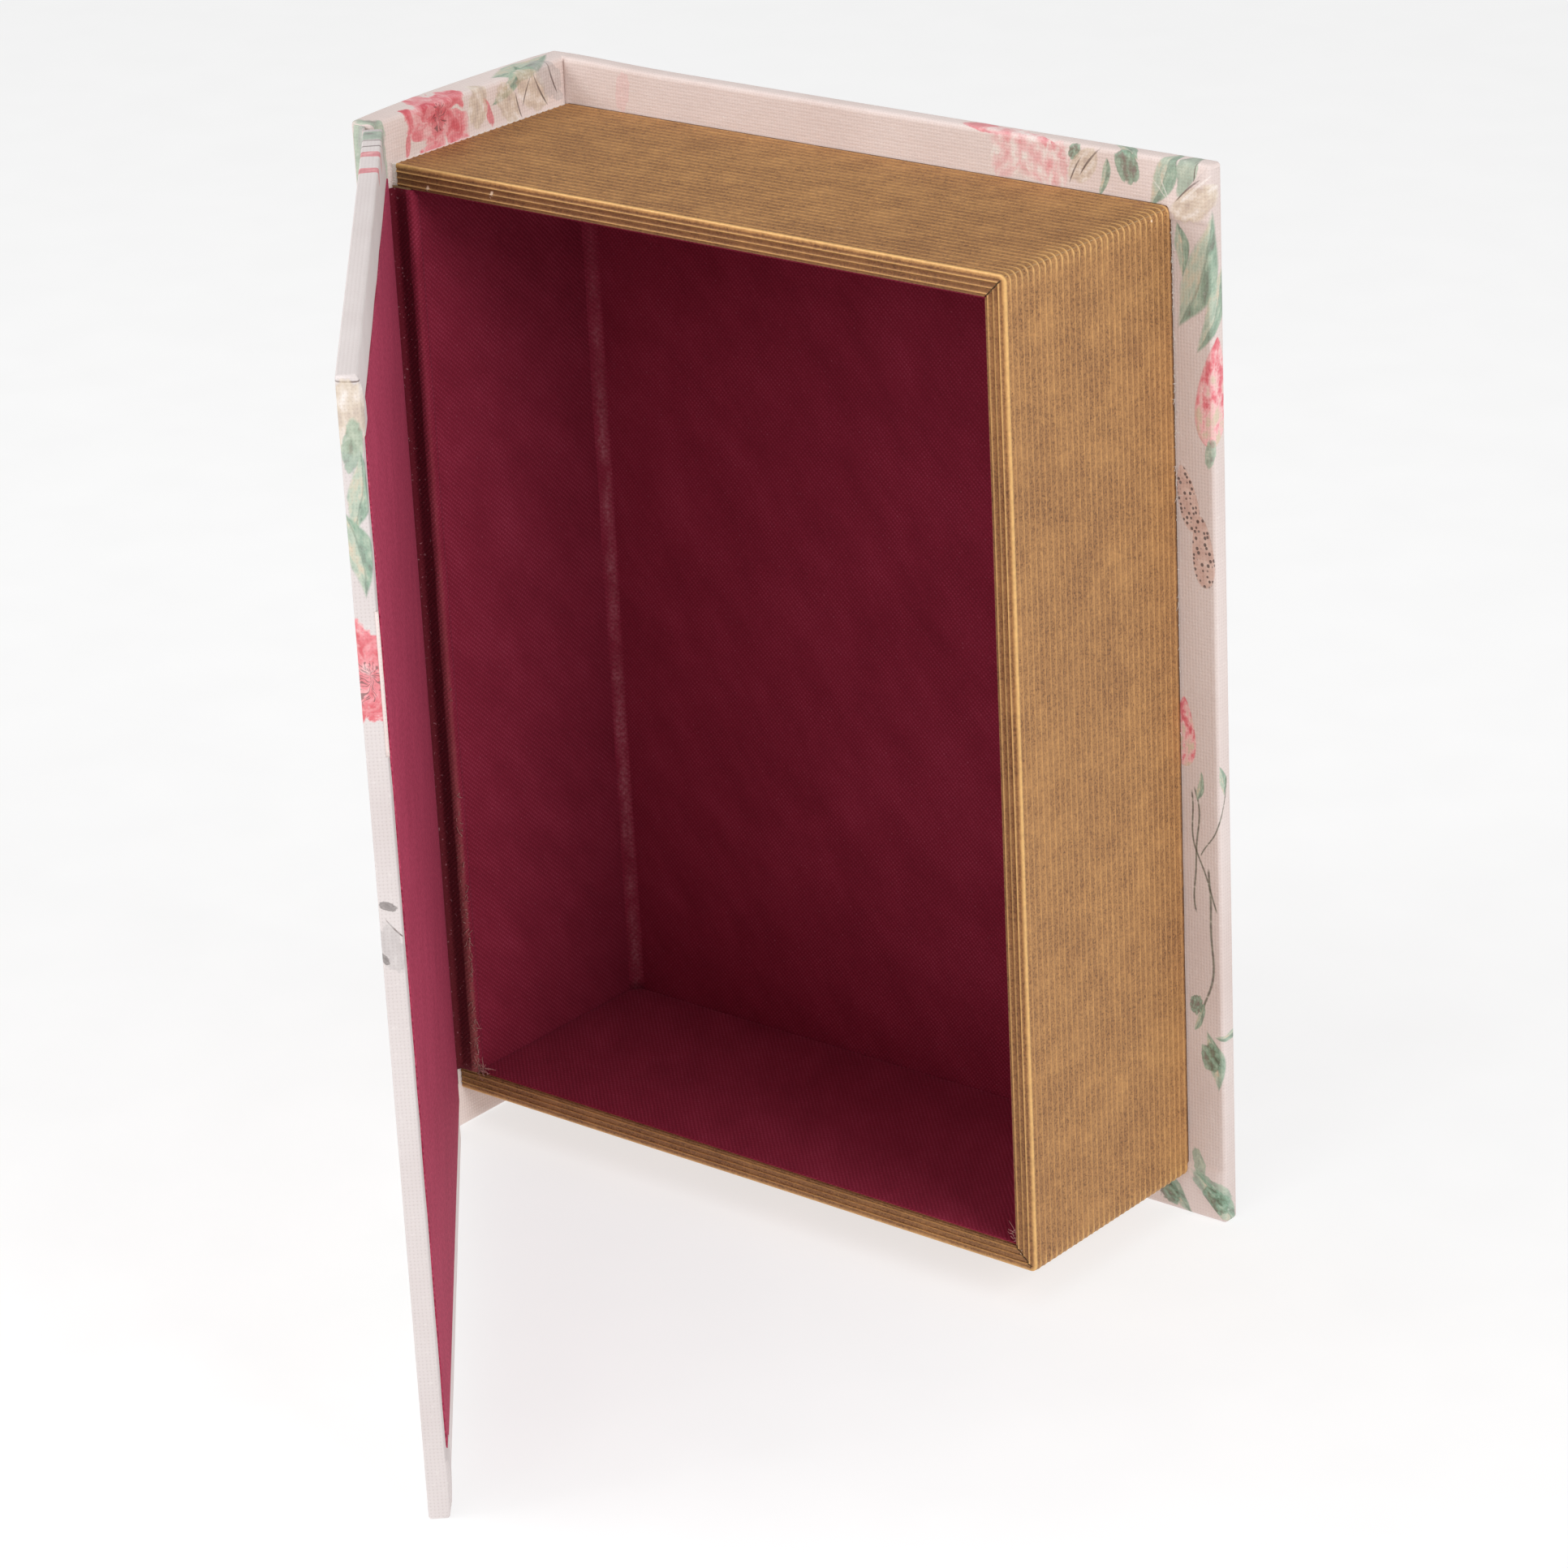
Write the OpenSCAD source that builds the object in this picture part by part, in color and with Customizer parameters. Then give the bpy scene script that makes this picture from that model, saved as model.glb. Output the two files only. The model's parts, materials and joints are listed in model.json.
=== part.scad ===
// Book-shaped keepsake box, standing on its tail edge with the front cover ajar.
// Boards covered in printed canvas, a wall frame wrapped in ribbed gold paper, and
// a burgundy cloth lining. Origin: middle of the back cover's tail edge, +Z to the
// head, -Y out through the open front, -X towards the spine.

/* [Case] */
// Width of the case, from the spine's corners to the fore-edge
case_w = 158; // [130:1:200]
// Height of the case, from tail to head
case_h = 210; // [170:1:260]
// Depth of the closed case, both covers included
case_d = 58.1; // [45:0.1:80]
// Thickness of a bare cover board
board_t = 3; // [2.5:0.1:4]
// Thickness of the canvas with its glue
canvas_t = 0.4; // [0.3:0.05:0.6]
// Rounding of the canvas over a board's edges
edge_r = 1.2; // [0.8:0.1:1.5]
// Width of the canvas folded round to the inside of a board
turn_in = 15; // [12:1:20]

/* [Spine] */
// Thickness of the covered spine at its two long edges
spine_t = 5.3; // [4.5:0.1:7]
// How far the spine bows outwards at its middle
spine_bow = 2.4; // [0.5:0.1:4]

/* [Tray] */
// Margin of cover left showing round the tray
tray_margin = 8.4; // [6:0.1:12]
// Height of the tray's rim above the inside of the back cover
tray_depth = 49.7; // [36:0.1:70]
// Thickness of the head, fore-edge and tail wall boards
wall_t = 4; // [3:0.5:5]
// Thickness of the spine-side wall board
spine_wall_t = 4.5; // [4:0.5:6]
// Thickness of the ribbed paper, to the crests of its ribs
wrap_t = 0.5; // [0.3:0.1:0.8]
// Thickness of the cloth lining on the walls
lining_t = 0.5; // [0.3:0.1:0.8]
// Thickness of the cloth-covered card on the tray's floor
floor_t = 0.7; // [0.5:0.1:1.5]
// Strip of spine left bare of ribbed paper beside the spine
wrap_setback = 1.2; // [0.5:0.1:2]

/* [Lid] */
// Width of the front cover and of the back cover's flat panel
cover_w = 150.5; // [122:0.5:192]
// How far the lid stands open at rest
rest_angle = 48.5; // [0:0.5:120]
// Inset of the lid's lining at the head and tail
lid_lining_margin = 9.3; // [6:0.1:14]
// Inset of the lid's lining at the fore-edge
lid_lining_fore = 5.4; // [4:0.1:10]
// Thickness of the lid's lining
lid_lining_t = 0.3; // [0.2:0.05:0.4]

/* [Hidden] */
cover_t = board_t + 2 * canvas_t;
x_spine = -case_w / 2;
x_fore = case_w / 2;
y_back = cover_t / 2;
y_inside = -cover_t / 2;
y_front = y_back - case_d;
x_spine_inside = x_spine + spine_t;
x_cover = x_fore - cover_w;
x_tray_fore = x_fore - tray_margin;
y_rim = y_inside - tray_depth;
tray_h = case_h - 2 * tray_margin;
// The lid turns about the canvas joint, a little outside the spine's front edge
pivot = [x_spine + 3.3, y_front - 0.6];
lid_t = 3.7;
y_lid_inside = y_front + lid_t;
hinge_cloth_t = 0.25;
joint_canvas_t = 0.5;
joint_end_gap = 0.5;
inner_w = x_tray_fore - wrap_t - wall_t - x_spine_inside - spine_wall_t;
inner_h = tray_h - 2 * (wrap_t + wall_t);
bow_r = (pow(case_d / 2, 2) + pow(spine_bow, 2)) / (2 * spine_bow);
canvas_colour = [0.90, 0.84, 0.83];
gold_colour = [0.74, 0.56, 0.33];
burgundy_colour = [0.38, 0.09, 0.18];
board_colour = [0.70, 0.56, 0.40];

// A box from its lowest corner to its highest corner
module block(low, high) {
    translate(low)
        cube(high - low);
}

// A rectangle from low to high with round corners
module round_rect(low, high, r) {
    translate([low[0] + r, low[1]])
        square([high[0] - low[0] - 2 * r, high[1] - low[1]]);
    translate([low[0], low[1] + r])
        square([high[0] - low[0], high[1] - low[1] - 2 * r]);
    for (x = [low[0] + r, high[0] - r], y = [low[1] + r, high[1] - r])
        translate([x, y])
            circle(r, $fn = 32);
}

// A flat panel, width along X and thickness along Y, with all its edges rounded
module round_slab(x0, x1, y0, y1) {
    intersection() {
        linear_extrude(case_h)
            round_rect([x0, y0], [x1, y1], edge_r);
        translate([x0 - 1, 0, 0])
            rotate([90, 0, 90])
                linear_extrude(x1 - x0 + 2)
                    round_rect([y0, 0], [y1, case_h], edge_r);
    }
}

// Canvas round a flat board, folded over to the inside and open in the middle
module canvas_shell(x0, x1, y_out, y_in, fold_in_y0, fold_in_y1) {
    difference() {
        round_slab(x0, x1, y_out, y_in);
        block(
            [x0 + canvas_t, y_out + canvas_t, canvas_t],
            [x1 - canvas_t, y_in - canvas_t, case_h - canvas_t]
        );
        block(
            [x0 + turn_in, fold_in_y0, turn_in],
            [x1 - turn_in, fold_in_y1, case_h - turn_in]
        );
    }
}

// Outline of the spine seen from the head, flat inside and bowed outside
module spine_outline() {
    intersection() {
        translate([x_spine - spine_bow, y_front])
            square([spine_t + spine_bow, case_d]);
        translate([x_spine - spine_bow + bow_r, (y_back + y_front) / 2])
            circle(bow_r, $fn = 360);
    }
}

// The lid's parts are drawn closed and swung to where the lid rests
module swung() {
    translate([pivot[0], pivot[1], 0])
        rotate([0, 0, -rest_angle])
            translate([-pivot[0], -pivot[1], 0])
                children();
}

module back_board() {
    color(board_colour)
        block(
            [x_cover + canvas_t, y_inside + canvas_t, canvas_t],
            [x_fore - canvas_t, y_back - canvas_t, case_h - canvas_t]
        );
}

module spine_board() {
    color(board_colour)
        translate([0, 0, canvas_t])
            linear_extrude(case_h - 2 * canvas_t)
                offset(delta = -canvas_t)
                    spine_outline();
}

module lid_board() {
    color(board_colour)
        swung()
            block(
                [x_cover + canvas_t, y_front + canvas_t, canvas_t],
                [x_fore - canvas_t, y_lid_inside - canvas_t, case_h - canvas_t]
            );
}

module back_canvas() {
    color(canvas_colour)
        canvas_shell(x_cover, x_fore, y_inside, y_back, y_inside - 1, y_inside + 1);
}

// The strip of canvas that bridges the back cover and the spine
module back_joint_canvas() {
    color(canvas_colour)
        block(
            [x_spine_inside, y_back - joint_canvas_t - 0.3, joint_end_gap],
            [x_cover, y_back - 0.3, case_h - joint_end_gap]
        );
}

// Canvas round the spine; its inside face is covered at head and tail only
module spine_canvas() {
    color(canvas_colour)
        difference() {
            linear_extrude(case_h)
                offset(r = edge_r, $fn = 32)
                    offset(delta = -edge_r)
                        spine_outline();
            translate([0, 0, canvas_t])
                linear_extrude(case_h - 2 * canvas_t)
                    offset(delta = -canvas_t)
                        spine_outline();
            block(
                [x_spine_inside - 1, y_front + canvas_t, turn_in],
                [x_spine_inside + 1, y_back - canvas_t, case_h - turn_in]
            );
        }
}

// The strip of canvas between the spine and the lid, bent as it is at rest
module front_joint_canvas() {
    color(canvas_colour)
        translate([pivot[0], pivot[1], joint_end_gap])
            linear_extrude(case_h - 2 * joint_end_gap)
                polygon([
                    [-0.6, 0.6], [1.7, 0.6], [2.5, -0.4], [2.9, -1.9],
                    [2.5, -2.2], [1.9, -0.7], [1.2, 0.1], [-0.6, 0.1]
                ]);
}

module lid_canvas() {
    color(canvas_colour)
        swung()
            canvas_shell(
                x_cover, x_fore, y_front, y_lid_inside, y_lid_inside - 1, y_lid_inside + 1
            );
}

// A head or tail wall board, from its inner face outwards
module long_wall(z) {
    color(board_colour)
        block(
            [x_spine_inside, y_rim + wrap_t, z],
            [x_tray_fore - wrap_t, y_inside, z + wall_t]
        );
}

module head_wall() {
    long_wall(case_h - tray_margin - wrap_t - wall_t);
}

module tail_wall() {
    long_wall(tray_margin + wrap_t);
}

module fore_edge_wall() {
    color(board_colour)
        block(
            [x_tray_fore - wrap_t - wall_t, y_rim + wrap_t, tray_margin + wrap_t + wall_t],
            [x_tray_fore - wrap_t, y_inside, case_h - tray_margin - wrap_t - wall_t]
        );
}

module spine_wall() {
    color(board_colour)
        block(
            [x_spine_inside, y_rim, tray_margin + wrap_t + wall_t],
            [x_spine_inside + spine_wall_t, y_inside, case_h - tray_margin - wrap_t - wall_t]
        );
}

// Ribbed paper round the outside of three walls and over their rim
module page_wrap() {
    x_start = x_spine_inside + wrap_setback;
    color(gold_colour)
        difference() {
            block(
                [x_start, y_rim, tray_margin],
                [x_tray_fore, y_inside, case_h - tray_margin]
            );
            block(
                [x_start - 1, y_rim + wrap_t, tray_margin + wrap_t],
                [x_tray_fore - wrap_t, y_inside + 1, case_h - tray_margin - wrap_t]
            );
            block(
                [x_start - 1, y_rim - 1, tray_margin + wrap_t + wall_t],
                [x_tray_fore - wrap_t - wall_t, y_inside + 1, case_h - tray_margin - wrap_t - wall_t]
            );
        }
}

// Lowest corner of the space between the bare walls
x_inner = x_spine_inside + spine_wall_t;
z_inner = tray_margin + wrap_t + wall_t;

module floor_lining() {
    color(burgundy_colour)
        block(
            [x_inner, y_inside - floor_t, z_inner],
            [x_inner + inner_w, y_inside, z_inner + inner_h]
        );
}

// Cloth on the inside of a head or tail wall
module long_lining(z) {
    color(burgundy_colour)
        block(
            [x_inner, y_rim + wrap_t, z],
            [x_inner + inner_w, y_inside - floor_t, z + lining_t]
        );
}

module head_lining() {
    long_lining(z_inner + inner_h - lining_t);
}

module tail_lining() {
    long_lining(z_inner);
}

// Cloth on the inside of a side wall, between the head and tail linings
module side_lining(x, y_top) {
    color(burgundy_colour)
        block(
            [x, y_top, z_inner + lining_t],
            [x + lining_t, y_inside - floor_t, z_inner + inner_h - lining_t]
        );
}

module fore_edge_lining() {
    side_lining(x_inner + inner_w - lining_t, y_rim + wrap_t);
}

module spine_wall_lining() {
    side_lining(x_inner, y_rim);
}

// Cloth over the spine-side rim and down the spine's front edge, which joins the lid
module hinge_lining() {
    color(burgundy_colour) {
        block(
            [x_spine_inside, y_rim - hinge_cloth_t, z_inner],
            [x_inner + lining_t, y_rim, z_inner + inner_h]
        );
        block(
            [x_spine_inside, y_front + edge_r, z_inner],
            [x_spine_inside + hinge_cloth_t, y_rim - hinge_cloth_t, z_inner + inner_h]
        );
    }
}

module lid_lining() {
    color(burgundy_colour)
        swung()
            block(
                [x_cover + edge_r, y_lid_inside, lid_lining_margin],
                [x_fore - lid_lining_fore, y_lid_inside + lid_lining_t, case_h - lid_lining_margin]
            );
}

back_board();
spine_board();
lid_board();
back_canvas();
back_joint_canvas();
spine_canvas();
front_joint_canvas();
lid_canvas();
head_wall();
tail_wall();
fore_edge_wall();
spine_wall();
page_wrap();
floor_lining();
head_lining();
tail_lining();
fore_edge_lining();
spine_wall_lining();
hinge_lining();
lid_lining();
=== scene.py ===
"""The looks of a book-shaped jewelry box: printed canvas case, ribbed gold tray, burgundy lining.

Everything is in metres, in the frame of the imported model: +Z from tail to head, -Y out through the
open front of the tray, -X towards the spine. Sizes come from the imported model's own boxes where
they can, and the rest repeat its values or are the cloth's own.
"""

import json
import math
from functools import partialmethod

import bmesh
import bpy
import numpy as np
from mathutils import Matrix, Vector


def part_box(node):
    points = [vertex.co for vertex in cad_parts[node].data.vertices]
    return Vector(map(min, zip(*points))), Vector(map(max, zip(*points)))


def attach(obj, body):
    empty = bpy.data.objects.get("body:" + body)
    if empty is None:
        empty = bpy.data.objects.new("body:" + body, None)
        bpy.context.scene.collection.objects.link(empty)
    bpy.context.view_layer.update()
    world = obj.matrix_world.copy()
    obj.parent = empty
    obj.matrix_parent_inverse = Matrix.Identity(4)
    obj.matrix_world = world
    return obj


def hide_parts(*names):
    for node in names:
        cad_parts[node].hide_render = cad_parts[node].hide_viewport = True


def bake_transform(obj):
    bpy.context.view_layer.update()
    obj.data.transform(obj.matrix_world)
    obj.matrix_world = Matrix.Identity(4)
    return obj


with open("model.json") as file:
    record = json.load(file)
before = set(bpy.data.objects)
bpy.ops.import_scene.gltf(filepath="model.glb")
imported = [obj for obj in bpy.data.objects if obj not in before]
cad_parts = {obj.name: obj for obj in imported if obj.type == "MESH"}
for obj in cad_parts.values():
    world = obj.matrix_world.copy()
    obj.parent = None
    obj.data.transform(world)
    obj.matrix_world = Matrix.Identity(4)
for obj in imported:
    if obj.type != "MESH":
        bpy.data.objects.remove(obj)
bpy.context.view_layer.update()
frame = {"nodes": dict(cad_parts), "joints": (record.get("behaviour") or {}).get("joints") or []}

MM = 0.001

# ---- sizes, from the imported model
BACK_LOW, BACK_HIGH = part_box("back_canvas")
SPINE_LOW, SPINE_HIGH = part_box("spine_canvas")
WRAP_LOW, WRAP_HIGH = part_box("page_wrap")
WALL_LOW, WALL_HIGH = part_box("spine_wall")
FLOOR_LOW, FLOOR_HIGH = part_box("floor_lining")
HINGE_LOW, HINGE_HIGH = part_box("hinge_lining")
HEIGHT = BACK_HIGH.z
COVER_WIDTH = BACK_HIGH.x - BACK_LOW.x
COVER_THICK = BACK_HIGH.y - BACK_LOW.y
CASE_FRONT = SPINE_LOW.y
SPINE_INSIDE = SPINE_HIGH.x
# The spine's edge and the lid are as thick as in the model, where no box gives them alone
SPINE_EDGE_THICK = 5.3 * MM
LID_THICK = 3.7 * MM
SPINE_BOW = SPINE_INSIDE - SPINE_LOW.x - SPINE_EDGE_THICK
LID_INSIDE = CASE_FRONT + LID_THICK
EDGE_ROUND = 0.85 * MM
LID_ROUND = 0.5 * MM
RIM = WRAP_LOW.y
HINGE = frame["joints"][0]
PIVOT = Vector((HINGE["pos_m"][0], HINGE["pos_m"][1], 0))
REST_ANGLE = math.radians(-HINGE["range_deg"][0])
SWING = Matrix.Translation(PIVOT) @ Matrix.Rotation(-REST_ANGLE, 4, "Z") @ Matrix.Translation(-PIVOT)

# ---- camera, lights and floor


CAMERA_LENS = 120.22
CAMERA_PLACE = (0.59497, -0.74076, 0.46389)
CAMERA_FORWARD = (-0.59558, 0.70810, -0.37931)
CAMERA_UP = (-0.20565, 0.32206, 0.92411)
# (name, place, width, power) of each softbox, all facing the middle of the box
BOX_MIDDLE = (-0.01, -0.05, 0.1)
LIGHTS = (
    ("key", (1.25, -0.25, 0.75), 0.7, 9.9),
    ("left", (-0.9, -1.0, 1.0), 0.8, 8.4),
    ("fill", (-0.4, -1.5, 0.5), 1.0, 4.9),
    ("high", (0.3, -1.2, 1.2), 0.8, 3.0),
    ("top", (0.1, -0.5, 1.5), 0.9, 1.9),
)


def make_camera():
    """A long lens at the photograph's viewing angle, with its slight roll."""
    data = bpy.data.cameras.new("camera")
    data.sensor_width = 36
    data.lens = CAMERA_LENS
    data.clip_start, data.clip_end = 0.05, 50
    camera = bpy.data.objects.new("camera", data)
    bpy.context.scene.collection.objects.link(camera)
    forward = Vector(CAMERA_FORWARD).normalized()
    right = forward.cross(Vector(CAMERA_UP)).normalized()
    turn = Matrix((right, right.cross(forward), -forward)).transposed().to_4x4()
    camera.matrix_world = Matrix.Translation(CAMERA_PLACE) @ turn
    bpy.context.scene.camera = camera


def area_light(name, place, width, power):
    """A square softbox at place, facing the box."""
    data = bpy.data.lights.new(name, "AREA")
    data.shape = "SQUARE"
    data.size = width
    data.energy = power
    light = bpy.data.objects.new(name, data)
    bpy.context.scene.collection.objects.link(light)
    light.location = place
    light.rotation_mode = "QUATERNION"
    light.rotation_quaternion = (Vector(BOX_MIDDLE) - Vector(place)).to_track_quat("-Z", "Y")


def make_studio():
    """Soft light from the right and above, a weaker fill, a pale surround and a pale floor."""
    scene = bpy.context.scene
    scene.view_settings.view_transform = "Standard"
    for light in LIGHTS:
        area_light(*light)
    scene.world = bpy.data.worlds.new("surround")
    scene.world.use_nodes = True
    g = Graph(scene.world.node_tree)
    seen = g.add("ShaderNodeBackground", Color=(0.94, 0.94, 0.94), Strength=1.0)
    lit = g.add("ShaderNodeBackground", Color=(1, 1, 1), Strength=0.38)
    seen_directly = g.add("ShaderNodeLightPath").outputs["Is Camera Ray"]
    mixed = g.add("ShaderNodeMixShader", seen_directly, lit.outputs[0], seen.outputs[0])
    g.add("ShaderNodeOutputWorld", mixed.outputs[0])
    bpy.ops.mesh.primitive_plane_add(size=8)
    floor = bpy.context.object
    floor.name = "floor"
    material, g, shader = new_material("floor_paper", roughness=0.9, specular=0.1)
    mottle = g.noise(g.position(), 40, detail=3)
    colour = g.ramp(mottle, [(0.3, (0.33, 0.33, 0.33)), (0.7, (0.35, 0.35, 0.35))])
    g.link(colour, shader.inputs["Base Color"])
    g.link((1, 1, 1), shader.inputs["Emission Color"])
    g.link(0.68, shader.inputs["Emission Strength"])
    floor.data.materials.append(material)


# ---- a small language for node graphs


class Value:
    """A number socket in a node graph, which arithmetic turns into Math nodes."""

    def __init__(self, graph, socket):
        self.graph, self.socket = graph, socket

    def __abs__(self):
        return self.graph.math("ABSOLUTE", self)


def arithmetic(operation, swapped):
    """The method of Value for an operator, swapped where the Value is the second operand."""
    def method(self, other):
        return self.graph.math(operation, *((other, self) if swapped else (self, other)))
    return method


for sign, operation in (("add", "ADD"), ("sub", "SUBTRACT"), ("mul", "MULTIPLY"), ("truediv", "DIVIDE")):
    setattr(Value, f"__{sign}__", arithmetic(operation, False))
    setattr(Value, f"__r{sign}__", arithmetic(operation, True))


class Graph:
    """Short calls that add nodes to a tree and link them."""

    def __init__(self, tree):
        self.tree = tree
        tree.nodes.clear()

    def link(self, source, target):
        if isinstance(source, Value):
            source = source.socket
        if isinstance(source, bpy.types.NodeSocket):
            self.tree.links.new(source, target)
        elif target.type == "RGBA":
            target.default_value = (*source[:3], 1)
        else:
            target.default_value = source

    def add(self, kind, *sources, **named):
        """A node. Sources fill its first inputs, capitalised names are inputs and the rest are settings."""
        node = self.tree.nodes.new(kind)
        for name, setting in named.items():
            if name[0].islower():
                setattr(node, name, setting)
        for source, target in zip(sources, node.inputs):
            self.link(source, target)
        for name, source in named.items():
            if name[0].isupper():
                self.link(source, node.inputs[name])
        return node

    def math(self, operation, *sources):
        return Value(self, self.add("ShaderNodeMath", *sources, operation=operation).outputs[0])

    sin = partialmethod(math, "SINE")
    cos = partialmethod(math, "COSINE")
    root = partialmethod(math, "SQRT")
    smaller = partialmethod(math, "MINIMUM")
    larger = partialmethod(math, "MAXIMUM")
    # 1 where the first number is over the second, else 0
    above = partialmethod(math, "GREATER_THAN")

    def step(self, a, low, high):
        """0 up to low, 1 from high, smooth between them."""
        node = self.add("ShaderNodeMapRange", a, low, high, interpolation_type="SMOOTHSTEP", clamp=False)
        return Value(self, node.outputs[0])

    def vector(self, x, y, z=0.0):
        return self.add("ShaderNodeCombineXYZ", x, y, z).outputs[0]

    def parts(self, vector):
        return [Value(self, s) for s in self.add("ShaderNodeSeparateXYZ", vector).outputs]

    def position(self):
        return self.add("ShaderNodeTexCoord").outputs["Object"]

    def uv(self):
        return self.add("ShaderNodeUVMap", uv_map="sheet").outputs[0]

    def attribute(self, name):
        return Value(self, self.add("ShaderNodeAttribute", attribute_name=name).outputs["Fac"])

    def noise(self, place, scale, detail=2.0, rough=0.5):
        """Patchy noise at a place, which is a vector socket or a pair of numbers."""
        if isinstance(place, tuple):
            place = self.vector(*place)
        node = self.add("ShaderNodeTexNoise", Vector=place, Scale=scale, Detail=detail, Roughness=rough)
        return Value(self, node.outputs[0])

    def mix(self, share, a, b, blend="MIX"):
        """Colour a where share is 0 and b where it is 1."""
        node = self.add("ShaderNodeMix", share, data_type="RGBA", blend_type=blend)
        self.link(a, node.inputs[6])
        self.link(b, node.inputs[7])
        return node.outputs[2]

    def ramp(self, share, stops):
        """A colour that runs through stops, each (place, colour)."""
        node = self.add("ShaderNodeValToRGB", share)
        elements = node.color_ramp.elements
        while len(elements) < len(stops):
            elements.new(0.5)
        for element, (place, colour) in zip(elements, stops):
            element.position = place
            element.color = (*colour, 1)
        return node.outputs[0]

    def coat(self, shader, colour, height, depth, strength=1.0):
        """Gives a shader its colour and its relief, which is height times depth metres."""
        self.link(colour, shader.inputs["Base Color"])
        bump = self.add("ShaderNodeBump", Height=height, Distance=depth, Strength=strength)
        self.link(bump.outputs[0], shader.inputs["Normal"])


def srgb(*channels):
    """A screen colour, 0 to 255 a channel, as the renderer's linear colour."""
    shares = [c / 255 for c in channels]
    return tuple(c / 12.92 if c <= 0.04045 else ((c + 0.055) / 1.055) ** 2.4 for c in shares)


def new_material(name, roughness, specular=0.3, metallic=0.0, sheen=0.0):
    """(material, its graph, its Principled shader)."""
    material = bpy.data.materials.new(name)
    material.use_nodes = True
    g = Graph(material.node_tree)
    shader = g.add("ShaderNodeBsdfPrincipled", Roughness=roughness, Metallic=metallic)
    g.add("ShaderNodeOutputMaterial", shader.outputs[0])
    g.link(specular, shader.inputs["Specular IOR Level"])
    g.link(sheen, shader.inputs["Sheen Weight"])
    g.link(0.4, shader.inputs["Sheen Roughness"])
    return material, g, shader


# ---- the printed motifs

PINK_DEEP = srgb(205, 82, 96)
PINK = srgb(228, 128, 136)
PINK_PALE = srgb(240, 190, 190)
CREAM = srgb(214, 196, 172)
BROWN = srgb(74, 52, 48)
GREEN_DARK = srgb(78, 98, 80)
GREEN = srgb(134, 164, 142)
GREEN_PALE = srgb(180, 194, 174)
OLIVE = srgb(92, 98, 76)
WHITE = srgb(244, 236, 230)


class Motif:
    """A node group that paints one motif: inputs Point, Size, Turn, Seed; outputs Cover and Colour."""

    def __init__(self, name, paint):
        tree = bpy.data.node_groups.new(name, "ShaderNodeTree")
        for socket, flow, kind in (
            ("Point", "INPUT", "Vector"), ("Size", "INPUT", "Float"), ("Turn", "INPUT", "Float"),
            ("Seed", "INPUT", "Float"), ("Cover", "OUTPUT", "Float"), ("Colour", "OUTPUT", "Color"),
        ):
            tree.interface.new_socket(socket, in_out=flow, socket_type="NodeSocket" + kind)
        g = Graph(tree)
        given = g.add("NodeGroupInput")
        size, turn, seed = (Value(g, given.outputs[k]) for k in (1, 2, 3))
        x, y, _ = g.parts(given.outputs[0])
        c, s = g.cos(turn), g.sin(turn)
        u, v = (x * c + y * s) / size, (y * c - x * s) / size
        g.add("NodeGroupOutput", *paint(g, u, v, seed))
        self.tree = tree

    def use(self, g, point, size, turn, seed):
        """(cover, colour) of this motif with its middle at the origin of point."""
        node = g.add("ShaderNodeGroup", point, size, turn, seed, node_tree=self.tree)
        return Value(g, node.outputs[0]), node.outputs[1]


def paint_peony(g, u, v, seed):
    """Loose petals, deep at the base and pale at the tips, with dark stamens in the heart."""
    u = u + (g.noise((u + seed * 9.0, v), 1.6) - 0.5) * 0.7
    v = v + (g.noise((u, v + seed * 5.0), 1.6) - 0.5) * 0.7
    angle = g.math("ARCTAN2", v, u)
    radius = g.root(u * u + v * v)
    wash = g.noise((u + seed * 7.0, v + seed * 3.0), 2.4, detail=4, rough=0.6) - 0.5
    cover, colour = None, PINK
    for petals, reach, phase in ((5, 1.0, 0.1), (4, 0.70, 0.55), (3, 0.42, 0.2)):
        across = g.math("FRACT", angle * (petals / math.tau) + (phase + wash * 0.5)) - 0.5
        edge = reach * (1.0 - 1.9 * across * across) + wash * 0.7
        inside = g.step(edge - radius, 0.0, 0.08)
        depth = g.smaller(g.larger((edge - radius) / (reach * 0.6), 0.0), 1.0)
        tone = depth * 0.35 + wash * 2.0 + 0.26
        petal = g.ramp(tone, [(0.0, PINK_PALE), (0.35, PINK), (0.7, srgb(212, 98, 106)), (1.0, PINK_DEEP)])
        fold = g.step(abs(across), 0.40, 0.5) * g.step(radius, 0.1, 0.3)
        petal = g.mix(fold * 0.35, petal, PINK_DEEP)
        tip = g.step(edge - radius, 0.13, 0.02)
        petal = g.mix(tip * 0.45, petal, PINK_PALE)
        colour = g.mix(inside, colour, petal)
        cover = inside if cover is None else g.larger(cover, inside)
    stamen = g.noise((angle * 1.6, radius * 1.6), 4.0, detail=1) - g.step(radius, 0.16, 0.5) * 0.3
    colour = g.mix(g.step(stamen, 0.53, 0.58) * 0.7, colour, BROWN)
    return cover * (0.92 + wash * 0.6), colour


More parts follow.
